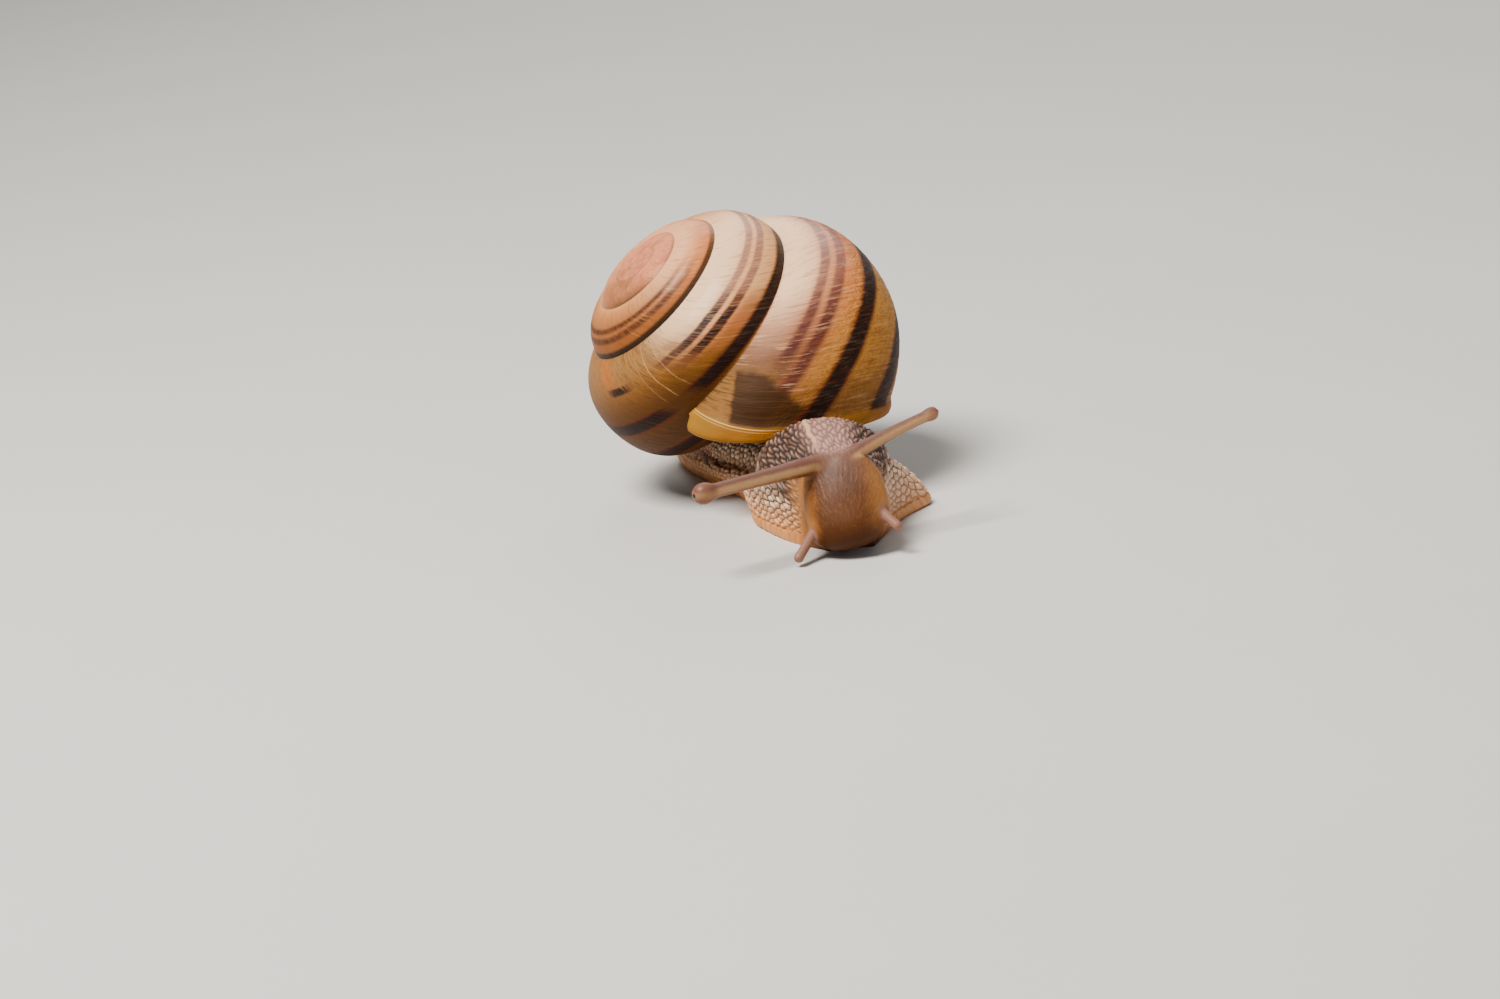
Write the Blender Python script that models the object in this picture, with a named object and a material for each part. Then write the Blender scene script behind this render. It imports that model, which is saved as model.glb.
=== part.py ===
"""Vienna banded snail, life size, as a still display model.

Modelled in millimetres and scaled to metres at the end. The head looks along -Y, the spire leans
to the snail's right (-X), and the sole lies flat on z = 0. The shell is a dextral coil: an
elliptical tube that grows as it turns about the shell's own axis. The flesh is one run of sections
along Y, parted by thin cuts into the sole, tail, trunk, neck and head.
"""
import math

import bmesh
import bpy
from mathutils import Euler, Vector

MM = 0.001
GAP = 0.3                      # thin cut between neighbouring solids

# Shell: an ellipse that grows by a formula in turns before the lip, t <= 0.
WHORLS = 5.4
TUBE_SIZE = 7.09               # half width of the tube at the lip
TUBE_FLATNESS = 0.910          # half height over half width
TUBE_ROLL = -0.043             # radians
TUBE_BULGE = (-0.022, 0.003, -0.012)   # cos 3a, sin 3a and cos 4a terms of the outline
TUBE_OFFSET = 0.744            # tube centre from the axis, in tube sizes
AXIS_DROP = -1.953             # tube centre below the coil's origin, in tube sizes
TUBE_GROWTH = (math.log(1.409), 0.0067, 0.0049)
DROP_GROWTH = (math.log(1.981), 0.0654, 0.0033)
LIP_START = -0.04              # radians, where the lip meets the suture
# How far the lip slants back towards the base: a straight and a curved term, then a straight one.
LIP_LAG = (0.45, 0.10, 0.108)
LIP_BEND = 0.9                 # angle below the suture where the slant changes
LIP_LAG_LIMIT = 1.33
LIP_FLARE = 0.03
SHELL_PLACE = (-6.05, 0.87, 16.55)     # the coil's origin
SHELL_TILT = (30.4, 24.1, -106.0)      # degrees
SUTURE_RANGE = (40.0, 170.0)   # degrees round the tube, where the suture is looked for
SUTURE_HALVINGS = 40
FIRST_SUTURE = 105.0           # degrees, on the first turn, which has no whorl before it
BASE_ANGLE = -118.0            # degrees round the tube, where the base turns in to the axis
STEPS_PER_TURN = 30
SPIRE_ROWS = 5
BASE_ROWS = 9
APEX_LIFT = 0.02               # height of the very tip over the first turn, in tube sizes
MOUTH_DEPTH = 2.2
MOUTH_INWARD = (-0.15, 0.2, 1.0)

COLLAR_REACH = (0.36, 0.42)    # share of the mouth that the collar fills, at its ends and between
COLLAR_SPAN = (-0.35, 0.15)    # height below and above the plane of the lip
COLLAR_TAPER = 0.8
COLLAR_POINTS = 14

# Flesh: one row for each station along the body, from the tail tip to the throat.
# y, middle x of the sole, middle x of the back, half width of the sole, half width of the back,
# height of the back, height of the shoulder as a share of it
STATIONS = (
    (20.6, -3.3, -3.3, 0.5, 0.3, 0.9, 0.45),
    (18.0, -3.0, -3.0, 1.6, 1.1, 1.9, 0.45),
    (13.0, -1.8, -1.8, 3.0, 2.1, 2.9, 0.45),
    (7.5, -0.2, -0.4, 4.0, 2.7, 3.3, 0.45),
    (3.5, 1.6, 0.9, 4.4, 3.0, 3.6, 0.45),
    (0.5, 3.1, 2.1, 4.7, 3.2, 4.2, 0.45),
    (-3.5, 5.0, 3.9, 5.1, 3.5, 4.8, 0.50),
    (-7.6, 5.8, 4.9, 5.8, 4.0, 5.1, 0.60),
    (-9.0, 5.5, 4.8, 5.3, 4.2, 6.35, 0.58),
    (-10.1, 5.3, 4.8, 4.7, 4.2, 7.0, 0.56),
    (-12.0, 5.2, 4.95, 3.8, 3.85, 6.7, 0.50),
    (-14.0, 5.4, 5.3, 2.9, 3.0, 6.1, 0.45),
    (-16.4, 5.9, 5.8, 1.5, 1.7, 4.6, 0.45),
)
FLANK_POWER = 2.5              # how full the flank is between sole and shoulder
SOLE_THICK = 0.9
SOLE_FLAT = 0.93               # half width of the flat underside over that of the sole
SOLE_BULGE = 0.35              # height of the sole's widest line, as a share of its thickness
SOLE_SHARE = 0.6               # the thin tail tip: how much of the height the sole takes
SOLE_COVER = 1.5               # least height of the section over the thickness of its sole
THIN_EDGE = 0.3                # least height of a section over the cut below it
TAIL_FRONT = 7.5
TRUNK_FRONT = -7.7
NECK_FRONT = -13.7
SOLE_FRONT = -15.6
SIDE_POINTS = 4                # of a section, from the cut to the shoulder
BACK_POINTS = 9                # and from the shoulder to the middle of the back
SECTIONS = {"foot_sole": 34, "tail": 12, "trunk": 16, "neck": 12, "head": 9, "snout": 6}

# Head: y, middle x, half width, underside, top, slope of the section up to the snail's left
HEAD_STATIONS = (
    (-14.0, 5.5, 2.70, 1.25, 6.0, 0.0),
    (-15.6, 5.75, 2.60, 1.25, 6.1, 0.0),
    (-16.4, 5.85, 2.60, 0.65, 5.8, 0.06),
    (-17.2, 5.95, 2.60, 0.50, 5.0, 0.12),
    (-18.0, 6.0, 2.40, 0.42, 4.0, 0.12),
    (-18.7, 6.0, 1.75, 0.62, 2.95, 0.12),
    (-19.1, 6.0, 1.05, 0.95, 2.30, 0.12),
)
HEAD_PEAR = 0.08               # how much wider the head is low down than high up
HEAD_SQUARE = 0.85             # below 1 fills the corners of the section
SNOUT_CUT = -17.8
HEAD_SIDES = 20
NOSE_SHARE = 0.45              # size of the nose's last ring over the one before
NOSE_AHEAD = 0.12

# Feelers: base, tip, sag of the middle, base radius, stalk radius, bulb radius
UPPER_FEELERS = {
    "right": ((4.9, -15.5, 5.5), (-2.8, -20.35, 5.55), 0.0, 0.62, 0.46, 0.70),
    "left": ((5.6, -16.0, 5.45), (11.8, -13.2, 7.25), -0.12, 0.52, 0.36, 0.45),
}
LOWER_FEELERS = {
    "right": ((4.1, -17.2, 2.1), (2.45, -19.4, 0.42), 0.0, 0.42, 0.30, 0.32),
    "left": ((7.4, -17.4, 3.1), (8.95, -19.2, 1.75), 0.0, 0.42, 0.30, 0.32),
}
FEELER_SECTIONS = 12
ROOT_POWER = 3                 # how quickly the root narrows to the stalk
BULB_POWER = 8                 # how late the stalk widens to the bulb
RIM_POINTS = 12
START_STEP = 0.01              # share of the length by which the stalk's start is moved out
START_LIMIT = 80

# Colour and roughness of each kind of solid.
SHELL_LOOK = ((0.55, 0.36, 0.17), 0.35)
COLLAR_LOOK = ((0.50, 0.36, 0.22), 0.45)
SOLE_LOOK = ((0.50, 0.38, 0.26), 0.5)
SKIN_LOOK = ((0.42, 0.33, 0.26), 0.5)
HEAD_LOOK = ((0.45, 0.27, 0.15), 0.4)
SNOUT_LOOK = ((0.50, 0.27, 0.12), 0.4)
UPPER_FEELER_LOOK = ((0.45, 0.30, 0.22), 0.45)
LOWER_FEELER_LOOK = ((0.55, 0.42, 0.32), 0.45)
EYE_LOOK = ((0.06, 0.04, 0.04), 0.2)


def growth(terms, turns):
    """Size after the given turns, where turns <= 0 and the lip is 0."""
    return math.exp(terms[0] * turns + terms[1] * turns ** 2 + terms[2] * turns ** 3)


def tube_radius(angle):
    c3, s3, c4 = TUBE_BULGE
    return 1.0 + c3 * math.cos(3 * angle) + s3 * math.sin(3 * angle) + c4 * math.cos(4 * angle)


def tube_centre(theta):
    """Distance from the axis, height and size of the tube, in tube sizes."""
    turns = theta / (2 * math.pi)
    size = growth(TUBE_GROWTH, turns)
    return size * TUBE_OFFSET, growth(DROP_GROWTH, turns) * AXIS_DROP, size


def tube_point(theta, angle, swell=1.0):
    """Distance from the axis and height of a point on the tube, in tube sizes."""
    out, up, size = tube_centre(theta)
    reach = tube_radius(angle) * swell
    a = math.cos(angle) * reach
    b = math.sin(angle) * reach * TUBE_FLATNESS
    cos_roll = math.cos(TUBE_ROLL)
    sin_roll = math.sin(TUBE_ROLL)
    return out + size * (a * cos_roll - b * sin_roll), up + size * (a * sin_roll + b * cos_roll)


def tube_angle(theta, radius, height):
    """Angle round the tube, and how far out the point lies (below 1 is inside)."""
    out, up, size = tube_centre(theta)
    dr = (radius - out) / size
    dz = (height - up) / size
    a = dr * math.cos(TUBE_ROLL) + dz * math.sin(TUBE_ROLL)
    b = (-dr * math.sin(TUBE_ROLL) + dz * math.cos(TUBE_ROLL)) / TUBE_FLATNESS
    angle = math.atan2(b, a)
    return angle, math.hypot(a, b) / tube_radius(angle)


def suture_angle(theta):
    """Angle round the tube where it meets the whorl before it, found by halving."""
    low, high = (math.radians(a) for a in SUTURE_RANGE)
    for _ in range(SUTURE_HALVINGS):
        middle = (low + high) / 2
        radius, height = tube_point(theta, middle)
        if tube_angle(theta - 2 * math.pi, radius, height)[1] > 1:
            low = middle
        else:
            high = middle
    return low


def lip_lag(angle, top):
    """How far the slanting lip lies behind its start, in radians of turn."""
    straight, curved, beyond = LIP_LAG
    below = max(0.0, top - angle)
    lag = straight * below + curved * min(below, LIP_BEND) ** 2 + beyond * max(0.0, below - LIP_BEND)
    return min(lag, LIP_LAG_LIMIT)


def shell_to_world(radius, height, theta):
    """A dextral coil: it turns clockwise towards the lip, seen from the apex."""
    local = Vector((radius * math.cos(-theta), radius * math.sin(-theta), height)) * TUBE_SIZE
    turn = Euler([math.radians(a) for a in SHELL_TILT]).to_matrix()
    return turn @ local + Vector(SHELL_PLACE)


def new_object(name, mesh_data, look):
    colour, roughness = look
    material = bpy.data.materials.new(name)
    material.use_nodes = True
    shader = material.node_tree.nodes["Principled BSDF"]
    shader.inputs["Base Color"].default_value = (*colour, 1.0)
    shader.inputs["Roughness"].default_value = roughness
    shader.inputs["Metallic"].default_value = 0.0
    obj = bpy.data.objects.new(name, mesh_data)
    mesh_data.materials.append(material)
    bpy.data.collections["vienna_banded_snail"].objects.link(obj)
    return obj


def mesh_object(name, bm, look):
    """Turn a millimetre bmesh into a smooth-shaded object in metres."""
    bmesh.ops.recalc_face_normals(bm, faces=bm.faces)
    bmesh.ops.triangulate(bm, faces=[f for f in bm.faces if len(f.verts) > 4])
    bmesh.ops.scale(bm, vec=(MM, MM, MM), verts=bm.verts)
    mesh_data = bpy.data.meshes.new(name)
    bm.to_mesh(mesh_data)
    bm.free()
    mesh_data.shade_smooth()
    return new_object(name, mesh_data, look)


def loft(bm, rings):
    """Skin a list of closed rings that have the same number of points, and close both ends."""
    rows = [[bm.verts.new(p) for p in ring] for ring in rings]
    count = len(rows[0])
    for lower, upper in zip(rows, rows[1:]):
        for i in range(count):
            j = (i + 1) % count
            bm.faces.new((lower[i], lower[j], upper[j], upper[i]))
    bm.faces.new(rows[0])
    bm.faces.new(rows[-1])


def build_shell():
    bm = bmesh.new()
    turn = 2 * math.pi
    first = round(-WHORLS * STEPS_PER_TURN)
    body = -STEPS_PER_TURN
    base = math.radians(BASE_ANGLE)
    columns = {}

    def add(theta, angle, swell=1.0):
        radius, height = tube_point(theta, angle, swell)
        return bm.verts.new(shell_to_world(radius, height, theta))

    def column_theta(i):
        return LIP_START + turn * i / STEPS_PER_TURN

    tops = {}
    for i in range(first, STEPS_PER_TURN + 1):
        early = i < first + STEPS_PER_TURN
        tops[i] = math.radians(FIRST_SUTURE) if early else suture_angle(column_theta(i))

    def foot_angle(i):
        """Angle on column i where the next whorl's suture lies."""
        theta = column_theta(i)
        radius, height = tube_point(theta + turn, tops[i + STEPS_PER_TURN])
        return tube_angle(theta, radius, height)[0]

    # Upper rows of every whorl, from its suture down to the next one.
    for i in range(0, first - 1, -1):
        theta = column_theta(i)
        share = max(0.0, (i - body) / STEPS_PER_TURN)
        foot = foot_angle(min(i, body))
        column = []
        for row in range(SPIRE_ROWS + 1):
            angle = tops[i] + (foot - tops[i]) * row / SPIRE_ROWS
            if row == SPIRE_ROWS and i + STEPS_PER_TURN <= 0:
                column.append(columns[i + STEPS_PER_TURN][0])
                continue
            lag = lip_lag(angle, tops[0]) * share
            swell = 1.0 + (LIP_FLARE if i == 0 and row > 0 else 0.0)
            column.append(add(theta - lag, angle, swell))
        columns[i] = column

    # Lower rows of the body whorl, down to the base and in to the axis.
    axis = {}
    for i in range(body, 1):
        share = (i - body) / STEPS_PER_TURN
        foot = foot_angle(body)
        for row in range(1, BASE_ROWS + 1):
            angle = foot + (base - foot) * row / BASE_ROWS
            lag = lip_lag(angle, tops[0]) * share
            swell = 1.0 + (LIP_FLARE if i == 0 else 0.0)
            columns[i].append(add(column_theta(i) - lag, angle, swell))
        theta = column_theta(i) - lip_lag(base, tops[0]) * share
        height = tube_point(theta, base)[1]
        axis[i] = bm.verts.new(shell_to_world(0.0, height, theta))

    for i in range(first, 0):
        here = columns[i]
        there = columns[i + 1]
        for row in range(min(len(here), len(there)) - 1):
            bm.faces.new((here[row], here[row + 1], there[row + 1], there[row]))
    for i in range(body, 0):
        bm.faces.new((columns[i][-1], axis[i], axis[i + 1], columns[i + 1][-1]))

    # Apex: a fan over the first turn.
    ring = [columns[i][0] for i in range(first, first + STEPS_PER_TURN + 1)]
    ring += list(reversed(columns[first][1:-1]))
    tip = sum((v.co for v in ring), Vector()) / len(ring)
    lift = shell_to_world(0.0, APEX_LIFT, 0.0) - shell_to_world(0.0, 0.0, 0.0)
    apex = bm.verts.new(tip + lift)
    for a, b in zip(ring, ring[1:] + ring[:1]):
        bm.faces.new((a, b, apex))

    # Mouth: a shallow bowl inside the lip.
    lip = columns[0]
    inner = columns[body][SPIRE_ROWS:]
    loop = lip + [axis[i] for i in range(0, body - 1, -1)] + list(reversed(inner))[:-1]
    middle = sum((v.co for v in lip), Vector()) / len(lip)
    bowl = bm.verts.new(middle + Vector(MOUTH_INWARD).normalized() * MOUTH_DEPTH)
    for a, b in zip(loop, loop[1:] + loop[:1]):
        bm.faces.new((a, b, bowl))
    return mesh_object("shell", bm, SHELL_LOOK)


def read_station(table, y):
    """A row of the table at y, by a smooth curve through its stations."""
    rows = sorted(table)
    y = min(max(y, rows[0][0]), rows[-1][0])
    k = max(i for i in range(len(rows) - 1) if rows[i][0] <= y)
    a = rows[k]
    b = rows[k + 1]
    before = rows[max(k - 1, 0)]
    after = rows[min(k + 2, len(rows) - 1)]
    span = b[0] - a[0]
    t = (y - a[0]) / span
    values = []
    for column in range(1, len(a)):
        slope_a = (b[column] - before[column]) / (b[0] - before[0]) * span
        slope_b = (after[column] - a[column]) / (after[0] - a[0]) * span
        values.append(
            (2 * t ** 3 - 3 * t ** 2 + 1) * a[column] + (t ** 3 - 2 * t ** 2 + t) * slope_a
            + (3 * t ** 2 - 2 * t ** 3) * b[column] + (t ** 3 - t ** 2) * slope_b)
    return values


def section_at(station, z):
    """Middle x and half width of a body section at height z: a full flank under a rounded back."""
    sole_x, back_x, sole, back, height, share = station
    shoulder = share * height
    if z >= shoulder:
        high = min(1.0, (z - shoulder) / (height - shoulder))
        return back_x, back * math.sqrt(1 - high ** 2)
    low = max(0.0, z / shoulder)
    middle = sole_x + (back_x - sole_x) * low * low * (3 - 2 * low)
    return middle, back + (sole - back) * math.sqrt(1 - low ** FLANK_POWER)


def body_ring(y, low):
    """One section of the body above the height low."""
    station = read_station(STATIONS, y)
    height, share = station[4:]
    shoulder = share * height
    start = min(low, height - THIN_EDGE)
    rise = max(shoulder, start) - start
    heights = [start + rise * k / SIDE_POINTS for k in range(SIDE_POINTS)]
    begin = math.asin(max(0.0, (start - shoulder) / (height - shoulder)))
    for k in range(BACK_POINTS):
        lean = begin + (math.pi / 2 - begin) * k / BACK_POINTS
        heights.append(shoulder + (height - shoulder) * math.sin(lean))
    right = []
    left = []
    for z in heights:
        middle, half = section_at(station, z)
        right.append((middle + half, y, z))
        left.append((middle - half, y, z))
    return right + [(station[1], y, height)] + left[::-1]


def along(start, end, count):
    return [start + (end - start) * k / (count - 1) for k in range(count)]


def build_body_piece(name, start, end):
    bm = bmesh.new()
    loft(bm, [body_ring(y, SOLE_THICK + GAP) for y in along(start, end, SECTIONS[name])])
    return mesh_object(name, bm, SKIN_LOOK)


def build_sole():
    """The muscular sole: flat below, with an edge that rounds in to the flank above."""
    bm = bmesh.new()
    rings = []
    for y in along(STATIONS[0][0], SOLE_FRONT, SECTIONS["foot_sole"]):
        middle, back_middle, sole, back, height, share = read_station(STATIONS, y)
        top = min(SOLE_THICK, SOLE_SHARE * height)
        height = max(height, SOLE_COVER * top)
        upper_middle, upper = section_at((middle, back_middle, sole, back, height, share), top)
        flat = sole * SOLE_FLAT
        bulge = top * SOLE_BULGE
        right = [(middle + flat, y, 0.0), (middle + sole, y, bulge), (upper_middle + upper, y, top)]
        left = [(upper_middle - upper, y, top), (middle - sole, y, bulge), (middle - flat, y, 0.0)]
        rings.append(right + [(upper_middle, y, top)] + left + [(middle, y, 0.0)])
    loft(bm, rings)
    return mesh_object("foot_sole", bm, SOLE_LOOK)


def head_ring(y):
    """A squarish section of the head, wider low down."""
    middle, width, low, high, slope = read_station(HEAD_STATIONS, y)
    ring = []
    for k in range(HEAD_SIDES):
        a = 2 * math.pi * k / HEAD_SIDES
        side = math.copysign(abs(math.cos(a)) ** HEAD_SQUARE, math.cos(a))
        up = math.copysign(abs(math.sin(a)) ** HEAD_SQUARE, math.sin(a))
        across = width * (1 - HEAD_PEAR * up) * side
        ring.append((middle + across, y, (low + high) / 2 + (high - low) / 2 * up + slope * across))
    return ring


def build_head():
    bm = bmesh.new()
    loft(bm, [head_ring(y) for y in along(HEAD_STATIONS[0][0], SNOUT_CUT, SECTIONS["head"])])
    return mesh_object("head", bm, HEAD_LOOK)


def build_snout():
    """The muzzle with the mouth, rounded off at the front."""
    bm = bmesh.new()
    front, middle, _, low, high, _ = HEAD_STATIONS[-1]
    rings = [head_ring(y) for y in along(SNOUT_CUT - GAP, front, SECTIONS["snout"])]
    centre = Vector((middle, front, (low + high) / 2))
    ahead = Vector((0, -NOSE_AHEAD, 0))
    rings.append([centre + (Vector(p) - centre) * NOSE_SHARE + ahead for p in rings[-1]])
    loft(bm, rings)
    return mesh_object("snout", bm, SNOUT_LOOK)


def feeler_path(base, tip, sag, share):
    point = Vector(base).lerp(Vector(tip), share)
    point.z -= sag * 4 * share * (1 - share)
    return point


def outside_head(point):
    """Whether a point clears the head and snout by the thin cut."""
    if point.y < HEAD_STATIONS[-1][0] or point.y > HEAD_STATIONS[0][0]:
        return True
    middle, width, low, high, slope = read_station(HEAD_STATIONS, point.y)
    across = (point.x - middle) / (width * (1 + HEAD_PEAR) + GAP)
    up = (point.z - slope * (point.x - middle) - (low + high) / 2) / ((high - low) / 2 + GAP)
    return abs(across) ** (2 / HEAD_SQUARE) + abs(up) ** (2 / HEAD_SQUARE) > 1


def feeler_start(base, tip, sag, radius):
    """Share of the path where the whole end face of the stalk clears the head."""
    along_path = (Vector(tip) - Vector(base)).normalized()
    side = along_path.orthogonal()
    other = along_path.cross(side)
    for step in range(START_LIMIT):
        share = step * START_STEP
        centre = feeler_path(base, tip, sag, share)
        rim = [centre + (side * math.cos(a) + other * math.sin(a)) * radius
               for a in along(0.0, 2 * math.pi, RIM_POINTS)]
        if all(outside_head(p) for p in rim):
            return share
    raise ValueError("the feeler never leaves the head")


def build_feeler(name, shape, stop, look):
    """A tapering stalk along a gently sagging path, up to the given share of its length."""
    base, tip, sag, base_radius, stalk_radius, bulb_radius = shape
    start = feeler_start(base, tip, sag, base_radius)
    curve = bpy.data.curves.new(name, "CURVE")
    curve.dimensions = "3D"
    curve.bevel_depth = MM
    curve.bevel_resolution = 3
    curve.use_fill_caps = True
    spline = curve.splines.new("POLY")
    shares = along(start, stop, FEELER_SECTIONS)
    spline.points.add(len(shares) - 1)
    for point, share in zip(spline.points, shares):
        point.co = (*(feeler_path(base, tip, sag, share) * MM), 1.0)
        radius = stalk_radius + (base_radius - stalk_radius) * (1 - share) ** ROOT_POWER
        point.radius = radius + (bulb_radius - stalk_radius) * share ** BULB_POWER
    raw = bpy.data.objects.new(name + "_curve", curve)
    bpy.context.scene.collection.objects.link(raw)
    evaluated = raw.evaluated_get(bpy.context.evaluated_depsgraph_get())
    mesh_data = bpy.data.meshes.new_from_object(evaluated)
    bpy.data.objects.remove(raw)
    bm = bmesh.new()
    bm.from_mesh(mesh_data)
    bmesh.ops.remove_doubles(bm, verts=bm.verts, dist=1e-6)
    bmesh.ops.recalc_face_normals(bm, faces=bm.faces)
    bm.to_mesh(mesh_data)
    bm.free()
    mesh_data.shade_smooth()
    return new_object(name, mesh_data, look)


def build_eye(name, shape):
    """The end of an upper feeler, which carries the eye."""
    base, tip, sag, _, _, bulb_radius = shape
    bm = bmesh.new()
    bmesh.ops.create_uvsphere(bm, u_segments=14, v_segments=8, radius=bulb_radius)
    bmesh.ops.translate(bm, vec=feeler_path(base, tip, sag, 1.0), verts=bm.verts)
    return mesh_object(name, bm, EYE_LOOK)


def eye_stop(shape):
    """Share of the feeler's length where the stalk ends, one gap short of the eye."""
    base, tip, _, _, _, bulb_radius = shape
    length = (Vector(tip) - Vector(base)).length
    return 1 - (bulb_radius + GAP) / length


def build_collar():
    """The mantle collar: a fleshy pad that fills the mouth of the shell."""
    bm = bmesh.new()
    top = suture_angle(LIP_START)
    rim = []
    for angle in along(top, math.radians(BASE_ANGLE), COLLAR_POINTS):
        theta = LIP_START - lip_lag(angle, top)
        radius, height = tube_point(theta, angle)
        rim.append(shell_to_world(radius, height, theta))
    middle = sum(rim, Vector()) / len(rim)
    lower = []
    upper = []
    for k, p in enumerate(rim):
        reach = COLLAR_REACH[0] + COLLAR_REACH[1] * math.sin(math.pi * k / (len(rim) - 1))
        lower.append(middle + (p - middle) * reach + Vector((0, 0, COLLAR_SPAN[0])))
        upper.append(middle + (p - middle) * reach * COLLAR_TAPER + Vector((0, 0, COLLAR_SPAN[1])))
    loft(bm, [lower, upper])
    return mesh_object("mantle_collar", bm, COLLAR_LOOK)


def centre_on_origin(objects):
    """Move the whole snail so that the origin lies at the middle of its footprint."""
    bpy.context.view_layer.update()
    corners = [obj.matrix_world @ Vector(c) for obj in objects for c in obj.bound_box]
    middle_x = (min(c.x for c in corners) + max(c.x for c in corners)) / 2
    middle_y = (min(c.y for c in corners) + max(c.y for c in corners)) / 2
    for obj in objects:
        obj.location = (-middle_x, -middle_y, 0.0)


def main():
    for obj in list(bpy.data.objects):
        bpy.data.objects.remove(obj)
    parts = bpy.data.collections.new("vienna_banded_snail")
    bpy.context.scene.collection.children.link(parts)

    build_shell()
    build_collar()
    build_sole()
    build_body_piece("tail", STATIONS[1][0], TAIL_FRONT)
    build_body_piece("trunk", TAIL_FRONT - GAP, TRUNK_FRONT)
    build_body_piece("neck", TRUNK_FRONT - GAP, NECK_FRONT)
    build_head()
    build_snout()
    for side, shape in UPPER_FEELERS.items():
        build_feeler("tentacle_upper_" + side, shape, eye_stop(shape), UPPER_FEELER_LOOK)
        build_eye("eye_" + side, shape)
    for side, shape in LOWER_FEELERS.items():
        build_feeler("tentacle_lower_" + side, shape, 1.0, LOWER_FEELER_LOOK)
    centre_on_origin(parts.objects)


main()
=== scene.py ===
"""Looks of the Vienna banded snail: the fine shell, one skin over the flesh, and the eyes.

Lengths are the snail's own millimetres, as in the solids, until a mesh is placed in the frame.
"""

import math
from types import SimpleNamespace

import bmesh
import bpy
import numpy as np
from mathutils import Matrix, Vector


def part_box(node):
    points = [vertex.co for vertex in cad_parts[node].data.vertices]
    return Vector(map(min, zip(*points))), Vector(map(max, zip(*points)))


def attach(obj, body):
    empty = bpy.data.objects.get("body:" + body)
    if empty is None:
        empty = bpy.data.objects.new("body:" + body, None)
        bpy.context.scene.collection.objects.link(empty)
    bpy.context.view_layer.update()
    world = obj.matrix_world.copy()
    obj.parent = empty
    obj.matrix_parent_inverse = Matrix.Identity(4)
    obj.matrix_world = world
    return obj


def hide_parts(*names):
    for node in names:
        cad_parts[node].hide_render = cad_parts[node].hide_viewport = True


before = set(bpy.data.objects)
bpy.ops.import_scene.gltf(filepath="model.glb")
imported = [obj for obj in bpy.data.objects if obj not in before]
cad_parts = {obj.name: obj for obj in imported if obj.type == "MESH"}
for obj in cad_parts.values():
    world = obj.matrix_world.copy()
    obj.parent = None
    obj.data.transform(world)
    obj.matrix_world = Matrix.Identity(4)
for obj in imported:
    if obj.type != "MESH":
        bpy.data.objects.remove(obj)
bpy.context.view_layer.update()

MM = 0.001
TURN = 2 * math.pi

# Shell, as in the solids: an ellipse that grows by a formula in turns before the lip.
WHORLS = 5.4
TUBE_SIZE = 7.09
TUBE_FLATNESS = 0.91
TUBE_ROLL = -0.043
TUBE_BULGE = (-0.022, 0.003, -0.012)
TUBE_OFFSET = 0.744
AXIS_DROP = -1.953
TUBE_GROWTH = (math.log(1.409), 0.0067, 0.0049)
DROP_GROWTH = (math.log(1.981), 0.0654, 0.0033)
LIP_START = -0.04
LIP_LAG = (0.45, 0.1, 0.108)  # slope, bend, and slope below the bend
LIP_LAG_BEND = 0.9
LIP_LAG_LIMIT = 1.33
LIP_FLARE = 0.03
SHELL_PLACE = (-6.05, 0.87, 16.55)
SHELL_TILT = (30.4, 24.1, -106.0)
BASE_ANGLE = -118.0
STEPS = 400  # to a turn
SPIRE_ROWS = 30
BASE_ROWS = 70
APEX_TOP = math.radians(105)
APEX_RISE = 0.02  # of the tube's size
FLARE_STEPS = 9.0
LIP_DROOP = 0.9  # how much further the lip rolls at its top
FAR_ABOVE = 9.0  # radians above the next whorl, where there is none
RIB_SWELL = 0.0009  # of the tube's size, as the next two
PAUSE_DIP = 0.0015
LIP_DIP = 0.005
# How the lip rolls over: turn ahead, swell of the tube, how far inside (0 to 1)
LIP_ROLL = (
    (0.018, 1.036, 0.0), (0.036, 1.036, 0.0), (0.052, 1.024, 0.0), (0.058, 1.003, 0.1),
    (0.05, 0.983, 0.3), (0.03, 0.967, 0.6), (0.0, 0.955, 0.8), (-0.06, 0.945, 0.9),
    (-0.18, 0.94, 1.0), (-0.4, 0.93, 1.0),
)

# Flesh, as in the solids: y, middle x of the sole, middle x of the back, half width of the sole,
# half width of the back, height, height of the shoulder as a share of it.
STATIONS = (
    (20.6, -3.3, -3.3, 0.5, 0.3, 0.9, 0.45),
    (18.0, -3.0, -3.0, 1.6, 1.1, 1.9, 0.45),
    (13.0, -1.8, -1.8, 3.0, 2.1, 2.9, 0.45),
    (7.5, -0.2, -0.4, 4.0, 2.7, 3.3, 0.45),
    (3.5, 1.6, 0.9, 4.4, 3.0, 3.6, 0.45),
    (0.5, 3.1, 2.1, 4.7, 3.2, 4.2, 0.45),
    (-3.5, 5.0, 3.9, 5.1, 3.5, 4.8, 0.5),
    (-7.6, 5.8, 4.9, 5.8, 4.0, 5.1, 0.6),
    (-9.0, 5.5, 4.8, 5.3, 4.2, 6.35, 0.58),
    (-10.1, 5.3, 4.8, 4.7, 4.2, 7.0, 0.56),
    (-12.0, 5.2, 4.95, 3.8, 3.85, 6.7, 0.5),
    (-14.0, 5.4, 5.3, 2.9, 3.0, 6.1, 0.45),
    (-16.4, 5.9, 5.8, 1.5, 1.7, 4.6, 0.45),
)
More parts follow.
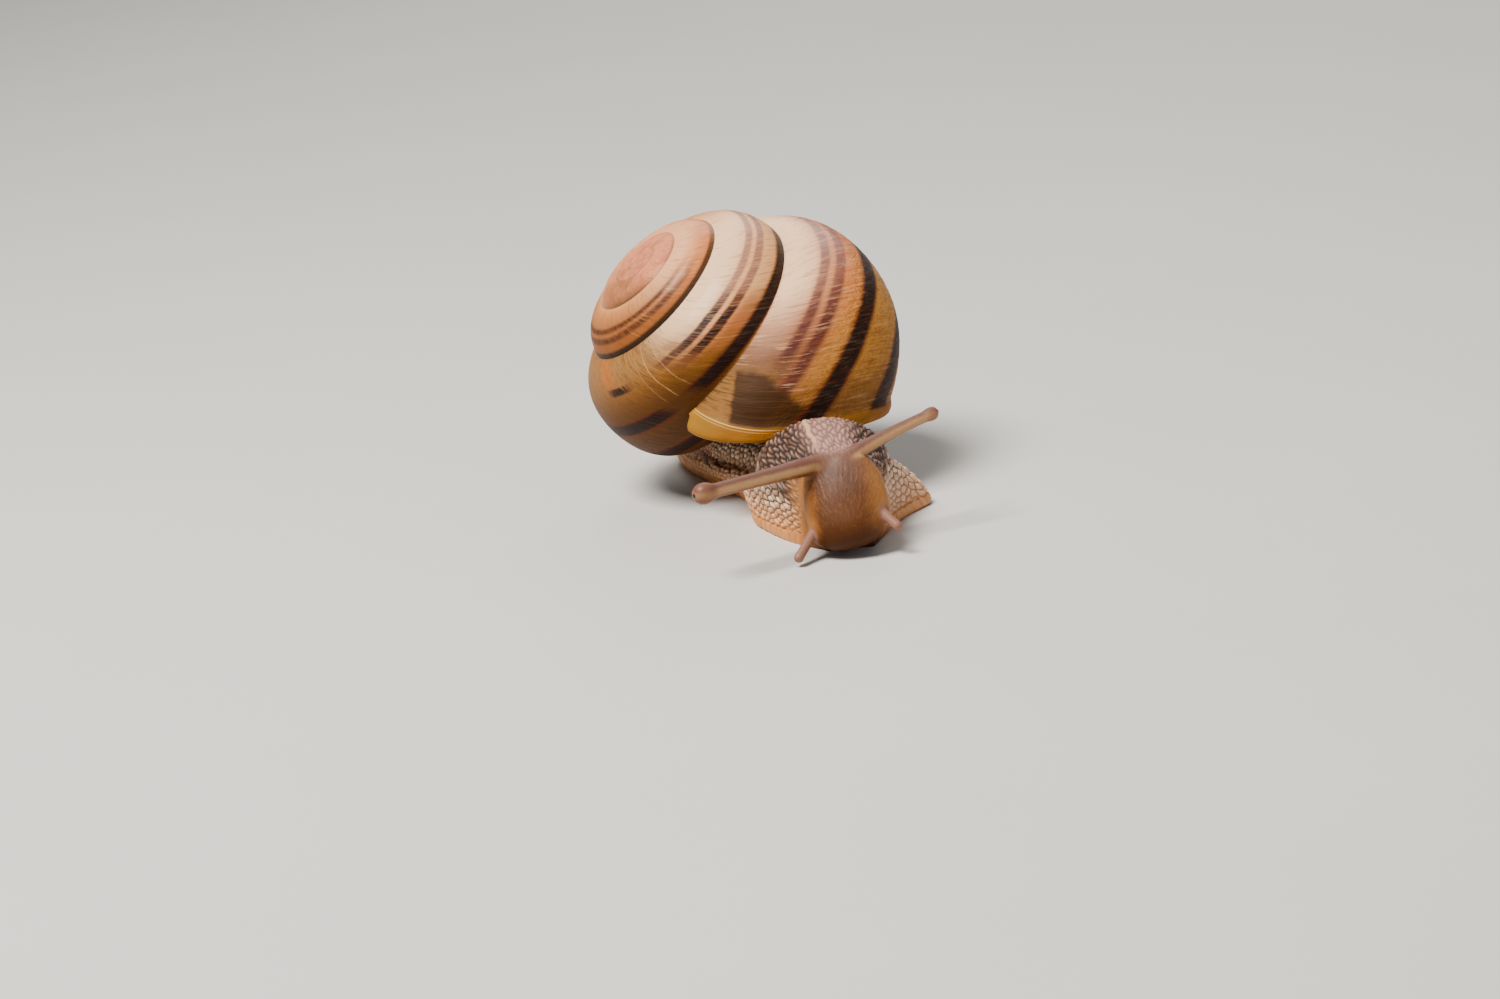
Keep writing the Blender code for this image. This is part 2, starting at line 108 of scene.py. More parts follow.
# y, middle x, half width, underside, top, slope of the section up to the snail's left
HEAD_STATIONS = (
    (-12.6, 5.3, 3.5, 1.6, 5.7, 0.0),
    (-13.3, 5.4, 3.16, 1.4, 5.85, 0.0),
    (-14.0, 5.5, 2.9, 1.25, 6.0, 0.0),
    (-14.8, 5.62, 2.7, 1.25, 6.05, 0.0),
    (-15.6, 5.75, 2.6, 1.25, 6.1, 0.0),
    (-16.4, 5.85, 2.6, 0.65, 5.8, 0.06),
    (-17.2, 5.95, 2.6, 0.5, 5.0, 0.12),
    (-18.0, 6.0, 2.4, 0.42, 4.0, 0.12),
    (-18.7, 6.0, 1.75, 0.62, 2.95, 0.12),
    (-19.1, 6.0, 1.05, 0.95, 2.3, 0.12),
)
HEAD_PEAR = 0.08  # how much wider the head is low down than high up
HEAD_SQUARE = 0.85  # below 1 fills the corners of the section
NOSE_RINGS = ((0.8, 0.06), (0.55, 0.1), (0.3, 0.12))  # share of the last section, mm ahead
COLLAR_RINGS = ((0.16, 0.84), (0.05, 0.85), (0.02, 0.8), (0.03, 0.66), (0.1, 0.4))
LEFT_TIP = (11.8, -13.2, 7.25)
# Base, tip, sag of the middle, base radius, stalk radius, bulb radius
UPPER_FEELERS = {
    "right": ((4.9, -15.5, 5.5), (-2.8, -20.35, 5.55), 0.0, 0.75, 0.46, 0.68),
    "left": ((5.6, -16.0, 5.45), LEFT_TIP, -0.12, 0.7, 0.36, 0.44),
}
LOWER_FEELERS = {
    "right": ((4.1, -17.2, 2.1), (2.6, -19.2, 0.58), 0.0, 0.5, 0.3, 0.32),
    "left": ((7.4, -17.4, 3.1), (8.78, -19.0, 1.9), 0.0, 0.5, 0.3, 0.32),
}
FEELERS = (*UPPER_FEELERS.values(), *LOWER_FEELERS.values())

SKIN_GRAIN = 0.115  # size of the skin's mesh
FINE_GAIN = 1.0  # how much finer it is on the neck and head
FINE_FROM = (-5.5, -8.5)
SKIN_MIDDLE = 5.0
BODY_ROWS = 120
HEAD_ROWS = 40
RELAX_ROUNDS = 6
EVEN_ROUNDS = 180
HEAD_MIDDLE = 5.9
HEAD_HALF = 2.6
BACK_ROUND = 6.0  # mm across the back to a radian
FAR = 9.0  # mm, further than any distance that counts
# Tubercles: width, length, jitter, seed
NECK_CELLS = (0.28, 0.98, 0.42, 1.0)
FLANK_CELLS = (0.54, 0.66, 0.55, 2.0)
HEAD_CELLS = (0.24, 0.8, 0.5, 3.0)
NECK_DEPTH = 0.12
FLANK_DEPTH = 0.13
RIDGE_HEIGHT = 0.03
FOOT_GROOVE = 0.07
FRINGE_FOLD = 0.05
EYE_SIZE = 0.17
EYE_SUNK = 0.1
EYE_FRONT = 0.75  # share of a half ball, before and behind
EYE_BACK = 0.5

CAMERA_LENS = 100.0
CAMERA_SENSOR = 36.0
CAMERA_TILT = math.radians(15)
CAMERA_ROLL = math.radians(6)
CAMERA_PLACE = (0.0, -264.26, 70.24)


def row_shift():
    """From the snail's own millimetres to the frame: the left eye sits at its feeler's tip."""
    low, high = (Vector(c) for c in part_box("eye_left"))
    shift = (low + high) / 2 - Vector(LEFT_TIP) * MM
    shift.z = 0.0
    return shift


SHIFT = row_shift()


def add_object(name, data):
    obj = bpy.data.objects.new(name, data)
    bpy.context.scene.collection.objects.link(obj)
    return obj


def store(mesh, key, values, domain="POINT"):
    layer = mesh.attributes.new(key, "FLOAT", domain)
    layer.data.foreach_set("value", np.asarray(values, dtype=np.float32))


def smooth(x):
    x = np.clip(x, 0.0, 1.0)
    return x * x * (3 - 2 * x)


def rise(x, low, high):
    """0 below low, 1 above high, and a smooth step between them; low may be the larger."""
    return smooth((x - low) / (high - low))


# ---- materials

def linear(tint):
    """The linear colour of a tint, which is given by its 0 to 255 screen values."""
    return tuple(((c / 255 + 0.055) / 1.055) ** 2.4 for c in tint)


class Value:
    """A number in a material's graph, which takes + - and *."""

    def __init__(self, graph, socket):
        self.graph = graph
        self.socket = socket

    def __add__(self, other):
        return self.graph.math("ADD", self, other)

    def __sub__(self, other):
        return self.graph.math("SUBTRACT", self, other)

    def __rsub__(self, other):
        return self.graph.math("SUBTRACT", other, self)

    def __mul__(self, other):
        return self.graph.math("MULTIPLY", self, other)

    __radd__ = __add__
    __rmul__ = __mul__


class Graph:
    """Short calls that make the nodes of one Principled material."""

    colour = None

    def __init__(self, name, **constants):
        self.material = bpy.data.materials.new(name)
        self.material.use_nodes = True
        self.tree = self.material.node_tree
        self.shader = self.tree.nodes["Principled BSDF"]
        self.finish(**constants)

    def feed(self, socket, value):
        if isinstance(value, Value):
            self.tree.links.new(value.socket, socket)
        elif socket.type == "RGBA":
            socket.default_value = (*linear(value), 1.0)
        else:
            socket.default_value = value

    def node(self, kind, inputs=(), output=0, **settings):
        node = self.tree.nodes.new(kind)
        for key, value in settings.items():
            setattr(node, key, value)
        for key, value in dict(inputs).items():
            self.feed(node.inputs[key], value)
        return Value(self, node.outputs[output])

    def field(self, name):
        """A number stored in the mesh."""
        return self.node("ShaderNodeAttribute", output="Fac", attribute_name=name)

    def math(self, operation, *values):
        return self.node("ShaderNodeMath", enumerate(values), operation=operation)

    def most(self, first, *others):
        for other in others:
            first = self.math("MAXIMUM", first, other)
        return first

    def rise(self, x, low, high):
        """0 at low, 1 at high and a smooth step between them."""
        return self.node("ShaderNodeMapRange", {"Value": x, "From Min": low, "From Max": high},
                         interpolation_type="SMOOTHSTEP")

    def band(self, x, centre, half, soft):
        """1 within half of the centre, with soft edges."""
        away = self.math("ABSOLUTE", x - centre)
        return self.rise(away, half + soft * 0.5, half - soft * 0.5)

    def bands(self, x, rows):
        """Several bands: centre, half width, softness and strength of each."""
        return sum(self.band(x, *row) * strength for *row, strength in rows)

    def place(self, x, y, z=0.0):
        return self.node("ShaderNodeCombineXYZ", {"X": x, "Y": y, "Z": z})

    def noise(self, place, scale=1.0, detail=2.0, roughness=0.5, warp=0.0):
        return self.node("ShaderNodeTexNoise", {
            "Vector": place, "Scale": scale, "Detail": detail, "Roughness": roughness,
            "Distortion": warp}, output="Fac")

    def cells(self, place, scale):
        return self.node("ShaderNodeTexVoronoi", {"Vector": place, "Scale": scale},
                         output="Distance")

    def mix(self, share, below, above):
        node = self.tree.nodes.new("ShaderNodeMix")
        node.data_type = "RGBA"
        self.feed(node.inputs["Factor"], share)
        colours = [s for s in node.inputs if s.type == "RGBA"]
        self.feed(colours[0], below)
        self.feed(colours[1], above)
        return Value(self, [s for s in node.outputs if s.type == "RGBA"][0])

    def paint(self, share, colour):
        """Lay a colour over the colours so far."""
        self.colour = self.mix(share, self.colour, colour)

    def bump(self, height, depth):
        """Bump with the given depth in metres."""
        return self.node("ShaderNodeBump", {"Height": height, "Distance": depth}, output="Normal")

    def finish(self, **inputs):
        """Set the shader's inputs, and its colour if there is one."""
        if self.colour:
            inputs["Base_Color"] = self.colour
        for key, value in inputs.items():
            self.feed(self.shader.inputs[key.replace("_", " ")], value)
        return self.material


# Tints of the shell by their 0 to 255 screen values: its ground
CREAM = 246, 198, 152
YELLOW_CREAM = 242, 190, 130
PINK_CREAM = 226, 130, 66
SALMON = 206, 120, 88
GOLD = 204, 138, 56
BASE_BROWN = 70, 30, 3
AMBER = 176, 104, 34
OLD_ORANGE = 138, 76, 26
TAWNY = 104, 58, 26
MAUVE_ROSE = 140, 76, 66
MAUVE_TAN = 152, 86, 60
# Darker brown beside the worn patch
NEAR_PATCH_BROWN = 82, 46, 26
APEX_PINK = 220, 126, 84
APEX_PALE = 240, 176, 142
# Browner side of the spire: partly its own colour, partly painted shade
SPIRE_SHADE_BROWN = 132, 78, 28
TAN_GOLD = 142, 90, 14
TAN_BROWN = 80, 48, 7
TAN_MOTTLE = 88, 58, 12
# Painted glow of light through the shell, high on the golden side
GLOW_ORANGE = 190, 96, 22
OLIVE_GOLD = 130, 80, 20
# Low on the back: partly the shell's own darker base, partly painted shade
UNDER_SHADE_BROWN = 80, 46, 7
UNDER_SHADE_DARK = 44, 20, 2
# Bands
BAND_BROWN = 24, 10, 7
BAND_EDGE = 96, 30, 6
VIOLET_BROWN = 72, 30, 30
VIOLET_GREY = 114, 66, 68
OLD_BROWN = 70, 34, 14
# Patch, growth lines and sutures
STRIP_TAN = 142, 98, 46
STRIP_BROWN = 84, 50, 20
WORN_BROWN = 58, 34, 12
WORN_PALE = 112, 76, 44
WORN_DARK = 42, 23, 4
LIP_SHADE = 72, 40, 8
LINE_CREAM = 244, 190, 138
LINE_GOLD = 214, 146, 66
RIDGE_CREAM = 236, 182, 122
SCRATCH_BROWN = 112, 56, 26
COMB_BROWN = 90, 50, 24
# Painted shade in the sutures: green-black under the third whorl, brown in the older ones
SUTURE_SHADE_GREEN = 20, 20, 8
SUTURE_SHADE_BROWN = 96, 58, 22
# Lip and mouth
LIP_OCHRE = 136, 82, 12
LIP_OLIVE = 134, 92, 22
LIP_GOLD = 196, 134, 36
# Painted highlights: pale streaks along the lip
LIP_HIGHLIGHT_CREAM = 240, 196, 116
# Painted shade: the dark inside of the mouth
MOUTH_SHADE_BROWN = 40, 16, 4

SHELL_BUMP = 0.00007  # m
# Bands round the tube: angle, half width
THIN_BANDS = ((0.715, 0.05), (0.54, 0.058))
DARK_BANDS = ((0.14, 0.092), (-0.55, 0.115), (-1.18, 0.16))
# Places along the coil, in radians of turn from the lip: centre, half width, softness
THIN_GAP = (-5.97, 0.2, 0.25)
DARK_FADE = (-5.82, 0.16, 0.16)
COMBED_LINES = (-6.28, 0.16, 0.16)
# The same with a strength
DARK_DASHES = ((-6.62, 0.25, 0.16, 1.0), (-5.66, 0.12, 0.1, 1.0))
# Where the spire is browner on the snail's right, partly painted shade
SPIRE_SHADE_SIDE = ((-18.3, 0.7, 0.8, 1.0), (-24.4, 1.0, 1.2, 0.35))
PALE_RIDGES = ((-5.79, 0.004, 0.01, 1.0), (-5.93, 0.004, 0.01, 0.7), (-5.69, 0.003, 0.01, 0.5))
LIP_HIGHLIGHT_STREAKS = ((0.014, 0.003, 0.006, 1.0), (0.034, 0.002, 0.006, 0.6))


def shell_places(g):
    """The place on the coil, and noises that run with the growth lines.

    line is the place along the coil, 0 near the lip and -6.28 one whorl back; angle is the angle
    round the tube, level the one that the bands keep to, wander the level with small waves, and
    above the angle over the next whorl.
    """
    line = g.field("growth")
    angle = g.field("angle")
    level = g.field("level")

    def noise(along, around, detail=3.0, **more):
        return g.noise(g.place(line * along, angle * around), detail=detail, **more)

    striae = noise(52.0, 3.0, 4.0, roughness=0.7)
    sway = noise(2.2, 1.6) - 0.5
    return SimpleNamespace(
        line=line, angle=angle, level=level, above=g.field("above"), inside=g.field("inside"),
        striae=striae, sway=sway, wander=level + sway * 0.05 + (striae - 0.5) * 0.045,
        fine=noise(190.0, 2.5, roughness=0.6), ribs=noise(30.0, 2.0, roughness=0.6),
        hammer=noise(26.0, 18.0, roughness=0.6, warp=1.2),
        jag=(noise(7.0, 7.0, 4.0) - 0.5) * 0.22,
        towards_lip=g.rise(line + sway * 0.9, -1.5, -0.4))


def paint_ground(g, at):
    """Cream by the suture, gold below it and brown at the base."""
    g.colour = g.mix(g.rise(at.wander, 0.95, 0.42), CREAM, PINK_CREAM)
    g.paint(g.rise(at.wander + at.sway * 0.5, 0.4, 0.08), GOLD)
    g.paint(g.rise(at.wander, -0.35, -1.4), BASE_BROWN)
    g.paint(at.towards_lip * g.rise(at.wander, 0.98, 0.62) * 0.8, GOLD)


def paint_third_whorl(g, at):
    """Pinker and more amber than the later whorls, and orange along its rim; the amber, darker low
    on the whorl, is partly its own colour and partly painted shade.
    """
    older = g.rise(at.line, -8.0, -9.2)
    at.amber = g.rise(at.line, -13.7, -12.3) * older
    g.paint(older * 0.45, PINK_CREAM)
    # Darker amber low on the whorl: partly its own colour, partly painted shade
    low_amber_shade = g.mix(g.rise(at.level, 1.08, 0.72), AMBER, OLD_ORANGE)
    g.paint(at.amber * (g.rise(at.level, 1.3, 0.95) * 0.57 + 0.25), low_amber_shade)
    rim = older * g.rise(at.above + at.sway * 0.4, 0.75, 0.15)
    g.paint(rim * (at.amber * 0.35 + 0.25), OLD_ORANGE)


def paint_tones(g, at):
    """Local tones of the last two whorls, from the second whorl's front to the worn patch."""
    line = at.line
    g.paint(g.band(line, -7.75, 0.85, 0.5) * g.rise(at.level, 0.75, 0.5) * 0.6, YELLOW_CREAM)
    g.paint(g.band(line, -6.62, 0.35, 0.3) * g.rise(at.level, 0.52, 0.38) * 0.5, TAWNY)
    salmon = g.rise(line, -1.35, -1.85) * g.rise(line, -3.4, -2.6) * g.rise(at.level, 0.98, 0.78)
    g.paint(salmon * 0.42, SALMON)
    g.paint(g.rise(line, -2.6, -1.6) * g.band(at.wander, 0.63, 0.16, 0.1) * 0.35, MAUVE_ROSE)
    g.paint(g.rise(line, -1.3, -0.85) * g.rise(at.angle, 0.3, 0.6) * 0.7, MAUVE_TAN)
    # Darker brown beside the worn patch, strongest towards the suture
    by_suture = 0.2 + 0.6 * g.rise(at.angle, 0.48, 0.7)
    g.paint(g.rise(line, -0.98, -0.54) * by_suture, NEAR_PATCH_BROWN)


def paint_spire(g, at):
    """Pink first whorls with pale spots and orange clouds, browner on the snail's right, partly
    painted shade.
    """
    g.paint(g.rise(at.line, -13.5, -19.5), APEX_PINK)
    first = g.rise(at.line, -15.0, -18.5)
    g.paint(g.rise(at.hammer, 0.45, 0.62) * first * 0.35, APEX_PALE)
    g.paint(g.rise(at.sway, -0.05, 0.15) * first * 0.4, OLD_ORANGE)
    # Browner on the snail's right: partly its own colour, partly painted shade
    g.paint(g.bands(at.line, SPIRE_SHADE_SIDE) * 0.65, SPIRE_SHADE_BROWN)


def paint_golden_side(g, at):
    """Tan gold with mottles on the snail's right, a painted orange glow, olive mottles, and a
    darker brown low on the back, partly its own and partly painted shade.
    """
    line = at.line
    at.golden = g.rise(line + at.sway * 0.4, -6.75, -6.15) * g.rise(line, -3.6, -4.8)
    tan = g.mix(g.rise(at.striae, 0.46, 0.62), TAN_GOLD, TAN_BROWN)
    g.paint(at.golden * 0.9 * g.rise(at.wander, -0.5, 0.1), tan)
    # Painted glow: an orange band as of light shining through the shell
    g.paint(g.band(line, -5.56, 0.1, 0.14) * g.rise(at.level, 0.72, 0.88) * 0.5, GLOW_ORANGE)
    g.paint(at.golden * g.rise(at.hammer, 0.48, 0.66) * 0.35, TAN_MOTTLE)
    low = g.rise(at.level, 0.6, 0.3)
    at.mottle = g.rise(at.hammer, 0.42, 0.62) * low * g.rise(line, -7.0, -2.0)
    g.paint(at.mottle * 0.45, OLIVE_GOLD)
    # Darker brown low on the back: partly its own base colour, partly painted shade
    low_back = g.rise(line, -6.6, -5.9) * g.rise(line, -2.8, -4.0)
    at.under = g.rise(at.wander, 1.0, 0.25) * low_back
    g.paint(at.under * 0.85, UNDER_SHADE_BROWN)
    g.paint(g.rise(at.wander, 0.15, -0.25) * low_back * 0.6, UNDER_SHADE_DARK)


def paint_thin_bands(g, at):
    """Two thin upper bands in dashes, with gaps and a short dark mark on the snail's right."""
    line = at.line
    broken = g.rise(at.striae * 0.5 + at.ribs * 0.5, 0.42, 0.52)
    late = g.rise(line, -1.6, -0.75) + g.band(line, -6.45, 0.6, 0.2)
    late = late + g.rise(line, -5.95, -5.75) * g.rise(line, -2.6, -3.4)
    old = g.rise(line, -8.4, -11.5)
    pigment = g.mix(old, g.mix(late, VIOLET_GREY, VIOLET_BROWN), OLD_BROWN)
    faded = g.most(g.rise(at.angle, 0.65, 0.61), g.rise(line, -5.56, -5.46))
    faded = faded * g.rise(line, -6.6, -5.9) * g.rise(line, -4.6, -5.2)
    thin = (1.0 - g.band(line, *THIN_GAP)) * g.rise(line, -13.9, -12.9) * (1.0 - faded)
    strength = broken * (0.38 - late * 0.12) + old * 0.22 + late * 0.28 + 0.4
    dashes = g.bands(line, DARK_DASHES) * (broken * 0.4 + 0.55)
    soft = 0.045 + old * 0.03 + at.towards_lip * 0.03
    for centre, half in THIN_BANDS:
        here = g.band(at.wander, centre, half, soft) * thin
        g.paint(here * strength, pigment)
        g.paint(here * dashes, BAND_BROWN)


def paint_worn_patch(g, at):
    """A pale strip beside the suture, and the worn brown patch, both close to the lip."""
    line, angle = at.line, at.angle
    at.strip = g.rise(line, -0.66, -0.42) * g.rise(angle, 0.6, 0.74)
    stripes = g.mix(g.rise(at.striae, 0.46, 0.6) * 0.8, STRIP_TAN, STRIP_BROWN)
    g.paint(at.strip * 0.95, stripes)
    begins = -0.1 - g.math("MINIMUM", angle, 0.82) * 0.52
    ends = -0.08 - g.most(angle - 0.73, 0.0) * 1.26
    at.patch = (g.rise(line + at.jag * 0.6 - begins, -0.03, 0.05)
                * g.rise(line + at.jag * 0.4 - ends, 0.03, -0.03) * g.rise(angle, 0.1, 0.24))
    worn = g.mix(g.rise(at.fine, 0.45, 0.75) * 0.4, WORN_BROWN, WORN_PALE)
    worn = g.mix(g.rise(line, -0.5, -0.2) * 0.6, worn, WORN_DARK)
    g.paint(at.patch * 0.95, worn)
    g.paint(g.rise(line + at.jag, -0.55, -0.2) * g.rise(angle, 0.7, 0.4) * 0.55, LIP_SHADE)


def paint_dark_bands(g, at):
    """Three dark bands with reddish edges, which fade for a short way on the snail's right."""
    pale_lines = g.rise(at.fine, 0.62, 0.8)
    dark = g.rise(at.line, -14.6, -13.9) * (1.0 - g.band(at.line, *DARK_FADE) * 0.8)
    at.cover = 0.0
    for centre, half in DARK_BANDS:
        g.paint(g.band(at.wander, centre, half + 0.03, 0.07) * dark * 0.75, BAND_EDGE)
        core = g.band(at.wander, centre, half, 0.05) * (1.0 - pale_lines * 0.3) * dark
        g.paint(core * 0.97, BAND_BROWN)
        at.cover = core + at.cover


def paint_growth_lines(g, at):
    """Pale and brown growth lines, a few long pale ridges, and close dark lines beside them."""
    line, angle = at.line, at.angle
    lines = at.striae + (at.ribs - at.striae) * g.rise(line, -5.2, -6.4) * 0.7
    plain = (1.0 - g.most(at.patch, at.strip)) * (1.0 - g.rise(at.level, 0.6, 0.3) * 0.45)
    plain = plain * (1.0 - at.under * 0.6) * (1.0 - at.cover * 0.65)
    at.aged = g.most(at.golden, at.amber)
    g.paint(g.rise(lines, 0.53, 0.64) * 0.34 * plain, g.mix(at.aged, LINE_CREAM, LINE_GOLD))
    g.paint(g.rise(lines, 0.48, 0.34) * 0.46 * (1.0 - at.patch * 0.8), SCRATCH_BROWN)
    ridges = g.bands(line + angle * 0.38 + at.sway * 0.05, PALE_RIDGES)
    ridges = ridges * g.rise(angle, 0.2, 0.35) * (0.22 + 0.28 * g.rise(at.hammer, 0.35, 0.6))
    g.paint(ridges, RIDGE_CREAM)
    combed = g.band(line, *COMBED_LINES) * g.rise(angle, 0.3, 0.45)
    g.paint(combed * g.rise(at.striae, 0.5, 0.4) * 0.45, COMB_BROWN)


def paint_sutures(g, at):
    """Painted shade in the sutures: a dark line under the third whorl, and brown lines in the older
    sutures.
    """
    line, above = at.line, at.above
    # Painted shade where each whorl meets the next
    suture_shade = g.rise(above, 0.15, 0.08) * g.rise(line, -7.6, -8.6) * g.rise(line, -14.8, -13.6)
    g.paint(suture_shade * 0.9, SUTURE_SHADE_GREEN)
    old_suture_shade = g.rise(above, 0.3, 0.06) * g.band(line, -18.6, 0.5, 0.6) * 0.5
    old_suture_shade = old_suture_shade + g.rise(above, 0.12, 0.03) * g.rise(line, -12.6, -14.0) * 0.4
    g.paint(old_suture_shade, SUTURE_SHADE_BROWN)


def paint_lip(g, at):
    """The ochre lip with two fine pale streaks as painted highlights, and painted shade as the dark
    mouth inside it.
    """
    past = at.line + 0.09 + g.rise(at.angle, 0.3, 1.0) * 0.025
    at.lip = g.rise(past, -0.015, 0.015)
    ochre = g.mix(g.rise(at.angle, 0.55, 0.95), LIP_OCHRE, LIP_OLIVE)
    ochre = g.mix(g.rise(at.sway, -0.1, 0.15) * 0.3, ochre, LIP_GOLD)
    g.paint(at.lip * g.rise(at.inside, 1.0, 0.4), ochre)
    # Painted highlights: two fine pale streaks along the lip
    streaks = g.bands(past + at.sway * 0.015, LIP_HIGHLIGHT_STREAKS)
    streaks = streaks * g.rise(at.angle, 0.25, 0.5) * g.rise(at.inside, 0.6, 0.2)
    g.paint(streaks * 0.7, LIP_HIGHLIGHT_CREAM)
    # Painted shade: dark brown on the inner roll and on the sheet that closes the mouth
    g.paint(g.rise(at.inside, 0.2, 1.0), MOUTH_SHADE_BROWN)


def shell_material():
    g = Graph("shell", Coat_Roughness=0.18)
    at = shell_places(g)
    for paint in (paint_ground, paint_third_whorl, paint_tones, paint_spire, paint_golden_side,
                  paint_thin_bands, paint_worn_patch, paint_dark_bands, paint_growth_lines,
                  paint_sutures, paint_lip):
        paint(g, at)
    dull = g.most(at.patch, at.under, g.rise(at.line, -1.3, -0.85), at.aged * 0.8)
    relief = at.striae * 0.6 + at.fine * 0.25 + at.hammer * (at.mottle * 0.45 + at.lip * 0.15)
    return g.finish(Roughness=0.36 + (at.fine - 0.5) * 0.16 + dull * 0.16,
                    Normal=g.bump(relief, SHELL_BUMP), Specular_IOR_Level=0.2 - dull * 0.1,
                    Coat_Weight=g.rise(at.angle, 0.1, 0.7) * 0.12 * (1.0 - dull))


# ---- shell

def growth(terms, turns):
    return np.exp(terms[0] * turns + terms[1] * turns ** 2 + terms[2] * turns ** 3)


def tube_radius(angle):
    c3, s3, c4 = TUBE_BULGE
    return 1.0 + c3 * np.cos(3 * angle) + s3 * np.sin(3 * angle) + c4 * np.cos(4 * angle)


def tube_centre(theta):
    turns = theta / TURN
    size = growth(TUBE_GROWTH, turns)
    return size * TUBE_OFFSET, growth(DROP_GROWTH, turns) * AXIS_DROP, size


def tube_point(theta, angle, swell=1.0):
    """Distance from the axis and height of a point on the tube, in tube sizes."""
    out, up, size = tube_centre(theta)
    reach = tube_radius(angle) * swell
    a = np.cos(angle) * reach
    b = np.sin(angle) * reach * TUBE_FLATNESS
    cos_roll = math.cos(TUBE_ROLL)
    sin_roll = math.sin(TUBE_ROLL)
    return out + size * (a * cos_roll - b * sin_roll), up + size * (a * sin_roll + b * cos_roll)


def tube_angle(theta, radius, height):
    """Angle round the tube, and how far out the point lies (below 1 is inside)."""
    out, up, size = tube_centre(theta)
    dr = (radius - out) / size
    dz = (height - up) / size
    a = dr * math.cos(TUBE_ROLL) + dz * math.sin(TUBE_ROLL)
    b = (-dr * math.sin(TUBE_ROLL) + dz * math.cos(TUBE_ROLL)) / TUBE_FLATNESS
    angle = np.arctan2(b, a)
    return angle, np.hypot(a, b) / tube_radius(angle)


def suture_angle(theta):
    """Angle round the tube where it meets the whorl before it, found by halving."""
    low = np.full_like(theta, math.radians(40))
    high = np.full_like(theta, math.radians(170))
    for _ in range(40):
        middle = (low + high) / 2
        radius, height = tube_point(theta, middle)
        outside = tube_angle(theta - TURN, radius, height)[1] > 1
        low = np.where(outside, middle, low)
        high = np.where(outside, high, middle)
    return low


def lip_lag(angle, top, limit=LIP_LAG_LIMIT):
    """How far the slanting lip lies behind its start, in radians of turn."""
    below = np.maximum(0.0, top - angle)
    slope, bend, low_slope = LIP_LAG
    lag = (slope * below + bend * np.minimum(below, LIP_LAG_BEND) ** 2
           + low_slope * np.maximum(0.0, below - LIP_LAG_BEND))
    return np.minimum(lag, limit)


def shell_to_world(radius, height, theta):
    """Points in metres in the frame, from the coil's own cylinder coordinates."""
    local = np.stack([radius * np.cos(-theta), radius * np.sin(-theta),
                      height + 0.0 * theta], axis=-1) * TUBE_SIZE
    turn = Matrix.Identity(3)
    for axis, angle in zip("XYZ", SHELL_TILT):
        turn = Matrix.Rotation(math.radians(angle), 3, axis) @ turn
    world = local @ np.array(turn).T + np.array(SHELL_PLACE)
    return world * MM + np.array(SHIFT)


def ripple(line):
    """Uneven growth ribs along the coil, as a small swelling of the tube."""
    waves = np.sin(line * 61 + 2.1 * np.sin(line * 7.3))
    waves += 0.7 * np.sin(line * 97 + 3.0 * np.sin(line * 5.1))
    pauses = smooth(1 - np.abs(np.sin(line * 1.7 + 1.9)) / 0.05)
    before_lip = np.exp(-((line + 0.13) / 0.03) ** 2)
    return RIB_SWELL * waves - PAUSE_DIP * pauses - LIP_DIP * before_lip


class Coil:
    """The shell's points with their place on the coil, and the faces over them."""

    def __init__(self, lip_top):
        self.lip_top = lip_top
        self.points = []
        self.fields = []
        self.faces = []
        self.count = 0

    def line(self, theta, angle):
        """Place along the coil by the growth lines, which slant as the lip does."""
        return theta + lip_lag(angle, self.lip_top, math.inf)

    def take(self, points, theta, angle, inside=0.0, level=None, above=FAR_ABOVE):
        """Keep points with their turn and angle, and return their indices."""
        line = self.line(theta, angle)
        level = angle if level is None else level
        fields = np.broadcast_arrays(theta, angle, line, inside, level, above)
        self.points.append(points)
        self.fields.append(np.stack(fields, axis=-1))
        self.count += len(points)
        return np.arange(self.count - len(points), self.count)

    def add(self, theta, angle, swell=1.0, inside=0.0, **more):
        ribs = ripple(self.line(theta, angle)) * (1 - inside)
        radius, height = tube_point(theta, angle, swell * (1 + ribs))
        points = shell_to_world(radius, height, theta)
        return self.take(points, theta, angle, inside, **more)

    def at(self, indices):
        return np.concatenate(self.points)[indices]

    def strip(self, rows):
        for a, b in zip(rows, rows[1:]):
            self.faces.extend(zip(a[:-1].tolist(), a[1:].tolist(), b[1:].tolist(), b[:-1].tolist()))

    def fan(self, ring, hub):
        for a, b in zip(ring, ring[1:] + ring[:1]):
            self.faces.append((int(a), int(b), int(hub)))

    def mesh(self, name, twins):
        """One mesh: a twin shares its fellow's point and keeps its own fields."""
        points = np.concatenate(self.points)
        fields = np.concatenate(self.fields)
        real = np.arange(self.count)
        real[twins[0]] = twins[1]
        kept, index = np.unique(real, return_inverse=True)
        used = [face for face in self.faces if len({index[v] for v in face}) == len(face)]
        faces = [tuple(int(index[v]) for v in face) for face in used]
        corners = np.array([v for face in used for v in face])
        mesh = bpy.data.meshes.new(name)
        mesh.from_pydata(points[kept].tolist(), [], faces)
        for k, key in enumerate(("angle", "growth", "inside", "level", "above"), start=1):
            store(mesh, key, fields[corners, k], "CORNER")
        bm = bmesh.new()
        bm.from_mesh(mesh)
        bmesh.ops.recalc_face_normals(bm, faces=bm.faces)
        bm.to_mesh(mesh)
        bm.free()
        mesh.shade_smooth()
        return add_object(name, mesh)


